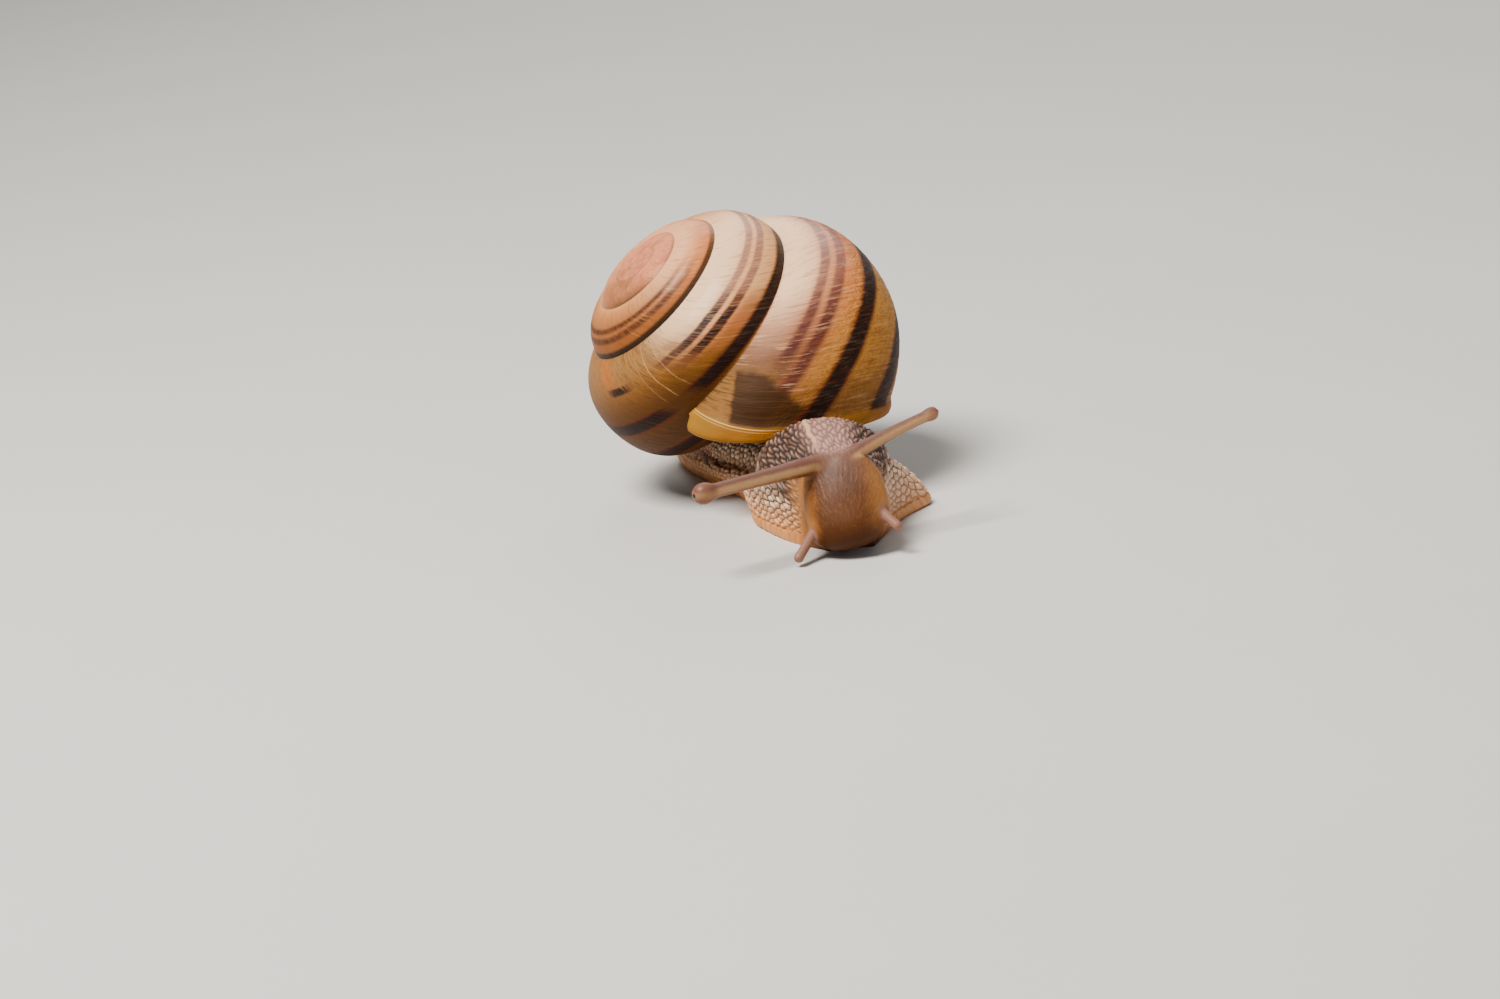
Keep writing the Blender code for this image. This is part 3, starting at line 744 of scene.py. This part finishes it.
def add_lip(coil, rows, base_rows):
    """The lip rolls over and back inside, and a fan closes the mouth behind it."""
    lip = np.concatenate([rows[:-1, -1], base_rows[:, -1]])
    fields = np.concatenate(coil.fields)[lip]
    round_lip = np.arange(len(lip)) / (len(lip) - 1)
    ease = smooth(round_lip * 25) * np.cos(TURN / 4 * round_lip) ** 0.35
    droop = 1 + LIP_DROOP * rise(fields[:, 1], 0.4, 1.0)
    levels = [lip]
    for ahead, swell, inside in LIP_ROLL:
        inner = coil.add(fields[1:-1, 0] + (ahead * ease * droop)[1:-1], fields[1:-1, 1],
                         1 + (swell - 1) * ease[1:-1], inside)
        levels.append(np.concatenate([lip[:1], inner, lip[-1:]]))
    coil.strip(levels)
    axis = base_rows[-1]
    mouth = list(levels[-1]) + list(axis[-2::-1]) + list(base_rows[:-1, 0][::-1])
    middle = coil.at(levels[-1]).mean(axis=0)
    hub = coil.take(middle[None, :], np.zeros(1), np.zeros(1), inside=1.0)[0]
    coil.fan(mouth, hub)


def add_apex(coil, rows, theta, top):
    """A fan over the first turn."""
    ring = list(rows[0][:STEPS + 1]) + list(rows[1:-1, 0][::-1])
    origin = np.zeros(1)
    up = shell_to_world(origin, origin + APEX_RISE, origin) - shell_to_world(origin, origin, origin)
    tip = coil.at(ring).mean(axis=0) + up
    coil.fan(ring, coil.take(tip, theta, top)[0])


def build_shell():
    first = round(-WHORLS * STEPS)
    count = -first + 1
    late = np.arange(count - STEPS, count)
    base = math.radians(BASE_ANGLE)
    steps = np.arange(first, STEPS + 1)
    thetas = LIP_START + TURN * steps / STEPS
    # The first turn rests on no other, so its upper edge stays at one angle.
    after_first = smooth(((steps - first) / STEPS - 0.8) / 0.2)
    tops = APEX_TOP * (1 - after_first) + suture_angle(thetas) * after_first

    here = np.arange(count)
    radius, height = tube_point(thetas[here] + TURN, tops[here + STEPS])
    feet = tube_angle(thetas[here], radius, height)[0]
    feet[late] = feet[late[0] - 1]
    coil = Coil(tops[-first])

    # The slant of the lip comes in over the last turn, and its flare in the last few steps.
    share = np.clip(1 + steps[here] / STEPS, 0.0, 1.0)
    flare = 1 + LIP_FLARE * smooth(1 + steps[here] / FLARE_STEPS)
    # The bands lie higher where the next whorl hides more of this one.
    hidden = 0.6 * np.maximum(0.0, feet - 0.06)
    rows = []
    for row in range(SPIRE_ROWS):
        angle = tops[here] + (feet - tops[here]) * row / SPIRE_ROWS
        lag = lip_lag(angle, coil.lip_top) * share
        swell = flare if row else 1.0
        rows.append(coil.add(thetas[here] - lag, angle, swell, level=angle - hidden,
                             above=angle - feet + FAR_ABOVE * smooth(share * 20)))
    rows = np.array(rows)
    # The last row of a whorl lies on the next whorl's first row.
    older = here[:count - STEPS]
    shared = rows[0][STEPS:]
    twin = coil.take(coil.at(shared), thetas[older], feet[older],
                     level=feet[older] - hidden[older], above=0.0)
    own = coil.add(thetas[late] - lip_lag(feet[late], coil.lip_top) * share[late], feet[late],
                   flare[late], level=feet[late] - hidden[late])
    rows = np.vstack([rows, np.concatenate([twin, own])])

    body = np.arange(count - STEPS - 1, count)
    base_rows = [rows[-1][body]]
    for row in range(1, BASE_ROWS + 1):
        angle = feet[body] + (base - feet[body]) * row / BASE_ROWS
        lag = lip_lag(angle, coil.lip_top) * share[body]
        base_rows.append(coil.add(thetas[body] - lag, angle, flare[body]))
    theta = thetas[body] - lip_lag(base, coil.lip_top) * share[body]
    height = tube_point(theta, base)[1]
    axis = coil.take(shell_to_world(0.0 * theta, height, theta), theta, base + 0.0 * theta)
    base_rows = np.array(base_rows + [axis])
    coil.strip(rows)
    coil.strip(base_rows)

    add_lip(coil, rows, base_rows)
    add_apex(coil, rows, thetas[:1], tops[:1])
    obj = coil.mesh("snail_shell", (twin, shared))
    obj.data.materials.append(shell_material())
    return obj


# ---- flesh

def read_station(table, y):
    """Rows of the table at y (a number or an array), by a smooth curve through its stations."""
    rows = np.array(sorted(table))
    y = np.clip(y, rows[0, 0], rows[-1, 0])
    k = np.clip(np.searchsorted(rows[:, 0], y, side="right") - 1, 0, len(rows) - 2)
    a = rows[k]
    b = rows[k + 1]
    before = rows[np.maximum(k - 1, 0)]
    after = rows[np.minimum(k + 2, len(rows) - 1)]
    span = (b[..., :1] - a[..., :1])
    t = (np.asarray(y)[..., None] - a[..., :1]) / span
    slope_a = (b - before) / (b[..., :1] - before[..., :1]) * span
    slope_b = (after - a) / (after[..., :1] - a[..., :1]) * span
    values = ((2 * t ** 3 - 3 * t ** 2 + 1) * a + (t ** 3 - 2 * t ** 2 + t) * slope_a
              + (3 * t ** 2 - 2 * t ** 3) * b + (t ** 3 - t ** 2) * slope_b)
    return np.moveaxis(values[..., 1:], -1, 0)


def section_at(station, z):
    """Middle x and half width of a body section at height z."""
    sole_x, back_x, sole, back, height, share = station
    shoulder = share * height
    low = np.clip(z / shoulder, 0, 1)
    high = np.clip((z - shoulder) / (height - shoulder), 0, 1)
    flank = back + (sole - back) * np.sqrt(1 - low ** 2.5)
    half = np.where(z < shoulder, flank, back * np.sqrt(1 - high ** 2))
    return sole_x + (back_x - sole_x) * smooth(low), half


def body_ring(y):
    """A whole section of the body: flat sole, rounded edge, flank and back."""
    station = read_station(STATIONS, y)
    sole_x, _, sole, _, height, share = station
    shoulder = share * height
    heights = list(np.linspace(0.28, shoulder, 14)[:-1])
    heights += [shoulder + (height - shoulder) * math.sin(a) for a in np.linspace(0, TURN / 4, 18)]
    right = [(sole_x + sole * 0.95, y, 0.0), (sole_x + sole * 0.99, y, 0.1)]
    left = [(sole_x - sole * 0.95, y, 0.0), (sole_x - sole * 0.99, y, 0.1)]
    for z in heights:
        middle, half = section_at(station, z)
        right.append((middle + half, y, z))
        left.append((middle - half, y, z))
    return right[:-1] + [(float(middle), y, height)] + left[:-1][::-1] + [(sole_x, y, 0.0)]


def head_ring(y, sides=40):
    middle, width, low, high, slope = read_station(HEAD_STATIONS, y)
    ring = []
    for a in np.linspace(0, TURN, sides + 1)[:-1]:
        side = math.copysign(abs(math.cos(a)) ** HEAD_SQUARE, math.cos(a))
        up = math.copysign(abs(math.sin(a)) ** HEAD_SQUARE, math.sin(a))
        across = width * (1 - HEAD_PEAR * up) * side
        ring.append((middle + across, y, (low + high) / 2 + (high - low) / 2 * up + slope * across))
    return ring


def loft(bm, rings):
    rows = [[bm.verts.new(p) for p in ring] for ring in rings]
    for lower, upper in zip(rows, rows[1:]):
        for i in range(len(lower)):
            j = (i + 1) % len(lower)
            bm.faces.new((lower[i], lower[j], upper[j], upper[i]))
    bm.faces.new(rows[0])
    bm.faces.new(rows[-1])


def feeler_path(shape, share):
    base, tip, sag = shape[:3]
    point = Vector(base).lerp(Vector(tip), share)
    point.z -= sag * 4 * share * (1 - share)
    return point


def feeler_end(shape):
    """Share of the path where the round end closes, one bulb radius beyond the tip."""
    return 1 + shape[5] / (Vector(shape[1]) - Vector(shape[0])).length


def feeler_radius(shape, share):
    """Wide at the root, slim in the stalk, with a round bulb about the tip."""
    base_radius, stalk_radius, bulb_radius = shape[3:]
    length = (Vector(shape[1]) - Vector(shape[0])).length
    before_tip = (1 - share) * length / bulb_radius
    radius = stalk_radius + (base_radius - stalk_radius) * max(0.0, 1 - share) ** 3
    radius += (bulb_radius - radius) * smooth((1.5 - before_tip) / 1.3)
    return radius * math.sqrt(max(0.01, 1 - min(0.0, before_tip) ** 2))


def feeler_rings(shape):
    rings = []
    for share in np.linspace(0, feeler_end(shape), 60):
        centre = feeler_path(shape, share)
        ahead = (feeler_path(shape, share + 0.02) - centre).normalized()
        side = ahead.cross(Vector((0, 0, 1))).normalized()
        up = side.cross(ahead)
        radius = feeler_radius(shape, share)
        rings.append([centre + (side * math.cos(a) + up * math.sin(a)) * radius
                      for a in np.linspace(0, TURN, 17)[:-1]])
    return rings


def cells(u, v, wide, long, jitter, seed):
    """Distance from the nearest edge of a cell, in mm, and a number for each cell, 0 to 1.

    The cells lie in rows along v, each row half a cell on from the last.
    """
    i, j = np.mgrid[-2:3, -2:3].reshape(2, -1, 1)
    a = np.floor(u / wide) + i
    b = np.floor(v / long) + j
    codes = np.abs(np.sin(a * 127.1 + b * 311.7 + seed) * 43758.5453) % 1
    others = np.abs(np.sin(a * 269.5 + b * 183.3 + seed) * 24634.6345) % 1
    x = (a + 0.5 + (codes - 0.5) * jitter) * long
    y = (b + 0.5 + 0.5 * (a % 2) + (others - 0.5) * jitter) * long
    u = u * long / wide
    nearest = np.hypot(u - x, v - y).argmin(axis=0), np.arange(len(u))
    x0, y0 = x[nearest], y[nearest]
    gap = np.hypot(x - x0, y - y0)
    gap[nearest] = 1.0
    edges = (((x + x0) / 2 - u) * (x - x0) + ((y + y0) / 2 - v) * (y - y0)) / gap
    edges[nearest] = FAR
    return edges.min(axis=0) * wide / long, codes[nearest]


def collar_rings():
    """The mantle collar: a fleshy pad a little way inside the lip, round the neck."""
    top = suture_angle(np.array([LIP_START]))[0]
    angles = np.linspace(top - 0.35, math.radians(BASE_ANGLE), 60)
    thetas = LIP_START - lip_lag(angles, top)
    place = np.array(SHIFT) / MM
    rings = []
    for back, reach in COLLAR_RINGS:
        radius, height = tube_point(thetas - back, angles)
        rim = shell_to_world(radius, height, thetas - back) / MM - place
        middle = rim.mean(axis=0)
        rings.append([Vector(middle + (p - middle) * reach) for p in rim])
    return rings


def nearest_feeler(points, shapes):
    """For each point its share along the closest feeler, its distance from it, and its height
    over the feeler's middle, in mm."""
    best = np.full(len(points), FAR)
    share_of = np.zeros(len(points))
    over = np.zeros(len(points))
    for shape in shapes:
        for share in np.linspace(0, feeler_end(shape), 70):
            centre = np.array(feeler_path(shape, share))
            away = np.linalg.norm(points - centre, axis=1) - feeler_radius(shape, share)
            closer = away < best
            best = np.where(closer, away, best)
            share_of = np.where(closer, share, share_of)
            over = np.where(closer, points[:, 2] - centre[2], over)
    return share_of, best, over


def feeler_fields(points):
    """Where the feelers are, the share along them, and the height over their middle."""
    share, away, over = nearest_feeler(points, UPPER_FEELERS.values())
    stalk = rise(away, 0.35, 0.05) * rise(share, 0.04, 0.2)
    share_of_lower, away, _ = nearest_feeler(points, LOWER_FEELERS.values())
    lower = rise(away, 0.3, 0.05) * rise(share_of_lower, 0.1, 0.4)
    return {"stalk": stalk, "share": share * stalk, "over": over, "lower": lower}


def region_fields(x, y, z, side):
    """Shares of head, cheeks and flanks, the foot's fringe and groove, and the neck's middle."""
    off_middle = np.abs(x - HEAD_MIDDLE)
    wobble = 0.06 * np.sin(y * 3.7 + 1.3 * np.sin(x * 2.9))
    flank = rise(np.abs(side) + wobble, 0.8, 1.0)
    head = rise(y + 0.35 * (z - 3.0), -13.9, -15.3) * rise(off_middle, 3.2, 2.7)
    ridge = rise(np.abs(side + 0.14 + 0.01 * np.sin(y * 4.0)), 0.036, 0.012)
    return {
        "head": head,
        "cheek": rise(y, -12.6, -13.8) * rise(off_middle, 3.9, 2.9) * rise(z, 5.0, 3.6),
        "flank": np.maximum(flank, rise(y, -7.5, -5.5)),
        "fringe": rise(z, 1.15, 0.55) * (1 - head),
        "groove": rise(np.abs(z - 0.8), 0.12, 0.02) * (1 - head) * rise(y, -15.5, -13.0),
        "folds": 0.5 + 0.5 * np.sin(y * 11.0 + 1.5 * np.sin(y * 2.7)),
        "ridge": ridge * rise(y, -14.6, -12.8) * (1 - rise(y, -7.5, -6.0)),
        "violet": rise(np.abs(side - 0.05), 0.38, 0.12),
    }


def tubercles(x, y, z, f):
    """Distance from the nearest groove, and a number for each tubercle.

    They stand in rows on the neck, as larger polygons on the flanks, and finer on the head.
    """
    across = f["side"] * BACK_ROUND
    warp = 0.1 * np.sin(y * 2.3 + x) + 0.05 * np.sin(y * 5.1 - 2.0 * x)
    row_edge, row_code = cells(across + warp, y + 0.2 * np.sin(across * 3.1), *NECK_CELLS)
    big_edge, big_code = cells(across + warp, y + 0.3 * z, *FLANK_CELLS)
    fine_edge, fine_code = cells(across * 1.2 + warp, y - z * 1.2, *HEAD_CELLS)
    row_edge = np.maximum(row_edge, (0.09 + 0.05 * np.sin(y * 9.0)) * f["ridge"])
    edge = np.where(f["flank"] > 0.5, big_edge, row_edge)
    code = np.where(f["flank"] > 0.5, big_code, row_code)
    return edge + (fine_edge - edge) * f["head"], code + (fine_code - code) * f["head"]


def skin_fields(points):
    """Named numbers for the skin's points: place, region and the pattern of its tubercles."""
    x, y, z = points.T
    middle, _ = section_at(read_station(STATIONS, y), z)
    side = np.arctan2(x - middle, np.maximum(z - 0.6, 0.02))
    head_side = (x - read_station(HEAD_STATIONS, y)[0]) / HEAD_HALF
    f = {"side": side, "along": y, "up": z, "head_side": head_side}
    f.update(feeler_fields(points))
    f.update(region_fields(x, y, z, side))
    f["net"], f["code"] = tubercles(x, y, z, f)
    f["bare"] = np.maximum(np.maximum(f["stalk"], f["lower"]), rise(z, 0.12, 0.02))
    return f


def skin_depth(f):
    """How far the skin is pressed in, in mm: grooves between tubercles, and the foot's groove."""
    row = NECK_DEPTH * (1 - rise(f["net"], 0.0, 0.14)) * (1 - 0.55 * f["violet"])
    row -= RIDGE_HEIGHT * f["ridge"]
    flank = FLANK_DEPTH * (1 - rise(f["net"], 0.0, 0.22))
    depth = row + (flank - row) * f["flank"]
    depth = depth * (1 - 0.85 * f["head"]) * (1 - f["bare"]) * (1 - 0.8 * f["fringe"])
    depth += FOOT_GROOVE * f["groove"] * (1 - f["bare"])
    depth += FRINGE_FOLD * f["folds"] * f["fringe"] * (1 - f["bare"])
    return depth


SKIN_BUMP = 0.00002  # m
# The skin's fields that its material reads
LOOK_FIELDS = (
    "side", "along", "up", "head_side", "net", "code", "head", "cheek", "flank", "fringe",
    "groove", "ridge", "violet", "stalk", "share", "over", "lower",
)


def skin_places(g):
    """The skin's fields, and noises over it."""
    at = SimpleNamespace(**{key: g.field(key) for key in LOOK_FIELDS})
    at.place = g.place(at.side * 5.0, at.along, at.up)
    at.cloud = g.noise(at.place, 0.55, 3.0)
    at.speckle = g.noise(at.place, 6.0, 3.0)
    at.grain = g.noise(at.place, 22.0, 2.0)
    return at


def neck_colour(g, at):
    """Pale tips on violet-brown tubercles as a painted highlight, in dark grooves, and a pale ridge
    down the middle.
    """
    # Painted highlight: pale tips of the tubercles, each with its own random tone
    tip_highlight = g.mix(g.rise(at.code + at.cloud * 0.6, 0.35, 1.1), (102, 72, 58), (160, 126, 104))
    tip_highlight = g.mix(at.violet * 0.8, tip_highlight, (190, 148, 130))
    body = g.mix(at.violet, (86, 58, 44), (162, 120, 106))
    groove = g.mix(at.violet, (36, 22, 16), (122, 86, 76))
    neck = g.mix(g.rise(at.net, 0.01, 0.06), groove, body)
    neck = g.mix(g.rise(at.net, 0.06, 0.13), neck, tip_highlight)
    return g.mix(at.ridge * 0.75, neck, (208, 168, 124))


def flank_colour(g, at):
    """Larger, paler polygons in a thin dark net that fades towards the foot."""
    bright = g.rise(at.side, 0.6, 1.0)
    polygon = g.mix(g.rise(at.code + at.cloud * 0.7, 0.4, 1.2), (182, 140, 106), (230, 194, 164))
    polygon = g.mix(bright * 0.5, polygon, (236, 198, 170))
    polygon = g.mix(g.rise(at.up, 3.0, 0.9) * (0.7 - bright * 0.35), polygon, (222, 150, 84))
    thread = g.mix(g.rise(at.up + at.cloud, 0.9, 3.4), (166, 104, 54), (44, 28, 18))
    thread = g.mix(bright * g.rise(at.up, 3.6, 2.4) * 0.6, thread, (188, 136, 98))
    return g.mix(g.rise(at.net, 0.01, 0.11), thread, polygon)


def head_colour(g, at):
    """Violet-brown above and dark orange-brown below, with fine streaks and warm sides."""
    sway = at.cloud - 0.5
    high = at.up + sway * 0.9
    streak = g.noise(g.place(at.side * 34.0, at.along * 3.0, at.up * 2.2), 1.0, 3.0, 0.6)
    face = g.mix(g.rise(high, 5.0, 3.4), (88, 56, 40), (90, 50, 18))
    face = g.mix(g.rise(high, 3.2, 1.4), face, (74, 36, 2))
    face = g.mix(g.rise(high, 4.9, 6.2), face, (118, 84, 70))
    face = g.mix(g.rise(at.net, 0.1, 0.02) * 0.2, face, (56, 28, 12))
    face = g.mix(g.rise(streak, 0.48, 0.7) * 0.3 * g.rise(at.up, 1.2, 3.2), face, (150, 98, 60))
    away = g.math("ABSOLUTE", at.head_side) + sway * 0.3
    face = g.mix(g.rise(away, 0.66, 1.02) * 0.7, face, (176, 112, 46))
    warm = g.rise(at.head_side + sway * 0.4, 0.25, 1.0) * g.rise(at.up, 0.8, 2.6)
    return g.mix(warm * (0.55 + streak * 0.25), face, (188, 126, 68))


def feeler_colour(g, at):
    """Violet-brown above, a paler line along the side and ochre-brown below."""
    over = at.over + (at.speckle - 0.5) * 0.12
    feeler = g.mix(g.rise(over, -0.38, -0.05), (108, 64, 26), (188, 142, 94))
    feeler = g.mix(g.rise(over, 0.05, 0.34), feeler, (106, 70, 58))
    return g.mix(g.rise(at.share, 0.9, 1.0) * 0.6, feeler, (122, 72, 50))


def skin_material():
    g = Graph("skin", Coat_Weight=0.04, Coat_Roughness=0.25, Subsurface_Weight=0.12,
              Subsurface_Radius=(1.0, 0.45, 0.22), Subsurface_Scale=0.0005)
    at = skin_places(g)
    g.colour = neck_colour(g, at)
    g.paint(at.flank, flank_colour(g, at))
    shaded = g.rise(at.up, 2.7, 4.0) * at.flank * g.rise(at.side, 0.4, -0.2)
    g.paint(shaded * 0.65, (66, 44, 32))
    g.paint(at.fringe * 0.7, (208, 132, 56))
    g.paint(at.groove * 0.2, (130, 80, 40))
    g.paint(at.cheek * 0.65, (186, 122, 60))
    g.paint(at.head, head_colour(g, at))
    g.paint(at.stalk, feeler_colour(g, at))
    g.paint(at.lower, (140, 98, 80))
    relief = at.grain * 0.5 + at.speckle * 0.4 + g.cells(at.place, 9.0) * 0.5
    relief = relief * (1.0 - at.stalk * 0.7 - at.lower * 0.7)
    return g.finish(Roughness=0.5 + (at.grain - 0.5) * 0.2, Normal=g.bump(relief, SKIN_BUMP),
                    Specular_IOR_Level=0.34 - at.head * 0.2)


def read_array(items, key, width, kind):
    values = np.empty(len(items) * width, dtype=kind)
    items.foreach_get(key, values)
    return values.reshape(-1, width)


def even_out(points, edges, weights, rounds):
    """Even out the points where the weights are high, by rounds of averaging with neighbours."""
    first, second = edges.T
    count = len(points)
    neighbours = np.bincount(first, minlength=count) + np.bincount(second, minlength=count)
    pull = (0.5 * weights / neighbours)[:, None]
    for _ in range(rounds):
        total = np.empty_like(points)
        for k in range(3):
            total[:, k] = (np.bincount(first, points[second, k], count)
                           + np.bincount(second, points[first, k], count))
        points = points + pull * (total - points * neighbours[:, None])
    return points


def stretch(points, back=False):
    """Enlarge the neck and head so that an even mesh comes out finer there, and the way back."""
    steps = np.linspace(-30.0, 30.0, 3001)
    gains = 1 + FINE_GAIN * rise(steps, *FINE_FROM)
    far = np.cumsum(gains) * (steps[1] - steps[0])
    far -= np.interp(0.0, steps, far)
    x, y, z = points.T
    if back:
        y = np.interp(y, far, steps)
        gain = 1 + FINE_GAIN * rise(y, *FINE_FROM)
        return np.stack([SKIN_MIDDLE + (x - SKIN_MIDDLE) / gain, y, z / gain], axis=-1)
    gain = 1 + FINE_GAIN * rise(y, *FINE_FROM)
    y = np.interp(y, steps, far)
    return np.stack([SKIN_MIDDLE + (x - SKIN_MIDDLE) * gain, y, z * gain], axis=-1)


def skin_lofts():
    """Body, head, collar and feelers as closed forms, stretched for the remesh."""
    bm = bmesh.new()
    loft(bm, [body_ring(y) for y in np.linspace(STATIONS[0][0], STATIONS[-1][0], BODY_ROWS)])
    ends = HEAD_STATIONS[0][0], HEAD_STATIONS[-1][0]
    head = [head_ring(y) for y in np.linspace(*ends, HEAD_ROWS)]
    front = head[-1]
    nose = Vector(np.mean(front, axis=0))
    for draw, ahead in NOSE_RINGS:
        head.append([nose + (Vector(p) - nose) * draw - Vector((0, ahead, 0)) for p in front])
    loft(bm, head)
    loft(bm, collar_rings())
    for shape in FEELERS:
        loft(bm, feeler_rings(shape))
    bmesh.ops.recalc_face_normals(bm, faces=bm.faces)
    wide = stretch(np.array([v.co for v in bm.verts]))
    for v, place in zip(bm.verts, wide):
        v.co = place
    mesh = bpy.data.meshes.new("snail_skin")
    bm.to_mesh(mesh)
    bm.free()
    return mesh


def one_surface(mesh):
    """An object with one smooth surface round all the forms of the mesh."""
    obj = add_object("snail_skin", mesh)
    remesh = obj.modifiers.new("one_skin", "REMESH")
    remesh.mode = "VOXEL"
    remesh.voxel_size = SKIN_GRAIN
    relax = obj.modifiers.new("relax", "SMOOTH")
    relax.factor = 0.5
    relax.iterations = RELAX_ROUNDS
    evaluated = obj.evaluated_get(bpy.context.evaluated_depsgraph_get())
    fine = bpy.data.meshes.new_from_object(evaluated)
    obj.modifiers.clear()
    obj.data = fine
    fine.name = "snail_skin"
    return obj


def head_softness(points):
    """Where the skin is evened out: on the head and the feelers' roots."""
    share, away, _ = nearest_feeler(points, FEELERS)
    soft = rise(points[:, 1], -11.5, -13.5) * rise(points[:, 2], 0.1, 0.6)
    return soft * (1 - rise(away, 0.5, 0.2) * rise(share, 0.1, 0.22))


def build_skin():
    obj = one_surface(skin_lofts())
    fine = obj.data
    points = read_array(fine.vertices, "co", 3, np.float32).astype(np.float64)
    points = stretch(points, back=True)
    edges = read_array(fine.edges, "vertices", 2, np.int32)
    points = even_out(points, edges, head_softness(points), EVEN_ROUNDS)
    fine.vertices.foreach_set("co", points.astype(np.float32).ravel())
    fine.update()
    normals = read_array(fine.vertex_normals, "vector", 3, np.float32)
    fields = skin_fields(points)
    points -= normals * skin_depth(fields)[:, None]
    points[:, 2] = np.maximum(points[:, 2], 0.0)
    fine.vertices.foreach_set("co", points.astype(np.float32).ravel())
    for key in LOOK_FIELDS:
        store(fine, key, fields[key])
    fine.transform(Matrix.Translation(SHIFT) @ Matrix.Scale(MM, 4))
    fine.shade_smooth()
    fine.materials.append(skin_material())
    return obj


def eye_material():
    g = Graph("eye", Coat_Weight=0.1, Coat_Roughness=0.2, Specular_IOR_Level=0.3)
    depth = g.field("depth")
    haze = g.noise(depth * 3.0, 2.0, 2.0)
    g.colour = g.mix(g.rise(depth + haze * 0.2, 0.2, 0.9), (80, 46, 32), (34, 20, 16))
    return g.finish(Roughness=0.35)


def build_eye(side):
    """A small dark lens, sunk in the end of an upper feeler."""
    shape = UPPER_FEELERS[side]
    tip = feeler_path(shape, feeler_end(shape))
    ahead = (tip - feeler_path(shape, 0.96)).normalized()
    turn = ahead.to_track_quat("Z", "Y").to_matrix()
    bm = bmesh.new()
    bmesh.ops.create_uvsphere(bm, u_segments=32, v_segments=20, radius=EYE_SIZE)
    depth = [v.co.z / EYE_SIZE for v in bm.verts]
    for v in bm.verts:
        v.co.z *= EYE_FRONT if v.co.z > 0 else EYE_BACK
        v.co = (turn @ v.co + tip - ahead * EYE_SUNK) * MM + SHIFT
    mesh = bpy.data.meshes.new("snail_eye_" + side)
    bm.to_mesh(mesh)
    bm.free()
    store(mesh, "depth", depth)
    mesh.shade_smooth()
    mesh.materials.append(eye_material())
    return add_object("snail_eye_" + side, mesh)


# ---- stage

FLOOR_TONES = ((203.42, 200.37, 195.68), (209.35, 206.41, 201.91))
SKY_COLOUR = (0.86, 0.88, 0.9, 1)
SKY_POWER = 0.18
# Name, place and width in metres, power in watts, colour
LAMPS = (
    ("key", (-0.12, -0.08, 0.28), 0.13, 2.2, (1.0, 0.97, 0.92)),
    ("fill", (0.3, -0.2, 0.12), 0.3, 0.2, (0.95, 0.97, 1.0)),
    ("back", (0.05, 0.3, 0.22), 0.2, 0.45, (1.0, 0.98, 0.95)),
)
LAMP_AIM = Vector((0, 0, 0.008))


def build_floor():
    bpy.ops.mesh.primitive_plane_add(size=4.0)
    floor = bpy.context.object
    floor.name = "floor"
    g = Graph("floor")
    shade = g.noise(g.node("ShaderNodeTexCoord", output="Object"), 40.0, 3.0)
    g.colour = g.mix(shade, *FLOOR_TONES)
    floor.data.materials.append(g.finish(Roughness=0.75))


def build_light():
    world = bpy.data.worlds.new("studio")
    bpy.context.scene.world = world
    world.use_nodes = True
    sky = world.node_tree.nodes["Background"]
    sky.inputs["Color"].default_value = SKY_COLOUR
    sky.inputs["Strength"].default_value = SKY_POWER
    for name, place, size, power, colour in LAMPS:
        light = bpy.data.lights.new(name, "AREA")
        light.size = size
        light.energy = power
        light.color = colour
        lamp = add_object(name, light)
        lamp.location = place
        lamp.rotation_euler = (LAMP_AIM - Vector(place)).to_track_quat("-Z", "Y").to_euler()


def build_camera():
    camera = bpy.data.cameras.new("camera")
    camera.lens = CAMERA_LENS
    camera.sensor_width = CAMERA_SENSOR
    camera.clip_start = 0.01
    camera.clip_end = 20
    obj = add_object("camera", camera)
    turn = (Matrix.Rotation(math.pi / 2 - CAMERA_TILT, 4, "X")
            @ Matrix.Rotation(-CAMERA_ROLL, 4, "Z"))
    obj.matrix_world = Matrix.Translation(Vector(CAMERA_PLACE) * MM + SHIFT) @ turn
    bpy.context.scene.camera = obj


build_camera()
build_floor()
build_light()

shell = build_shell()
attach(shell, "root")
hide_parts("shell")

skin = build_skin()
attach(skin, "root")
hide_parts("mantle_collar", "foot_sole", "tail", "trunk", "neck", "head", "snout",
            "tentacle_upper_right", "tentacle_upper_left", "tentacle_lower_right",
            "tentacle_lower_left")

for side in ("right", "left"):
    eye = build_eye(side)
    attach(eye, "root")
    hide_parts("eye_" + side)
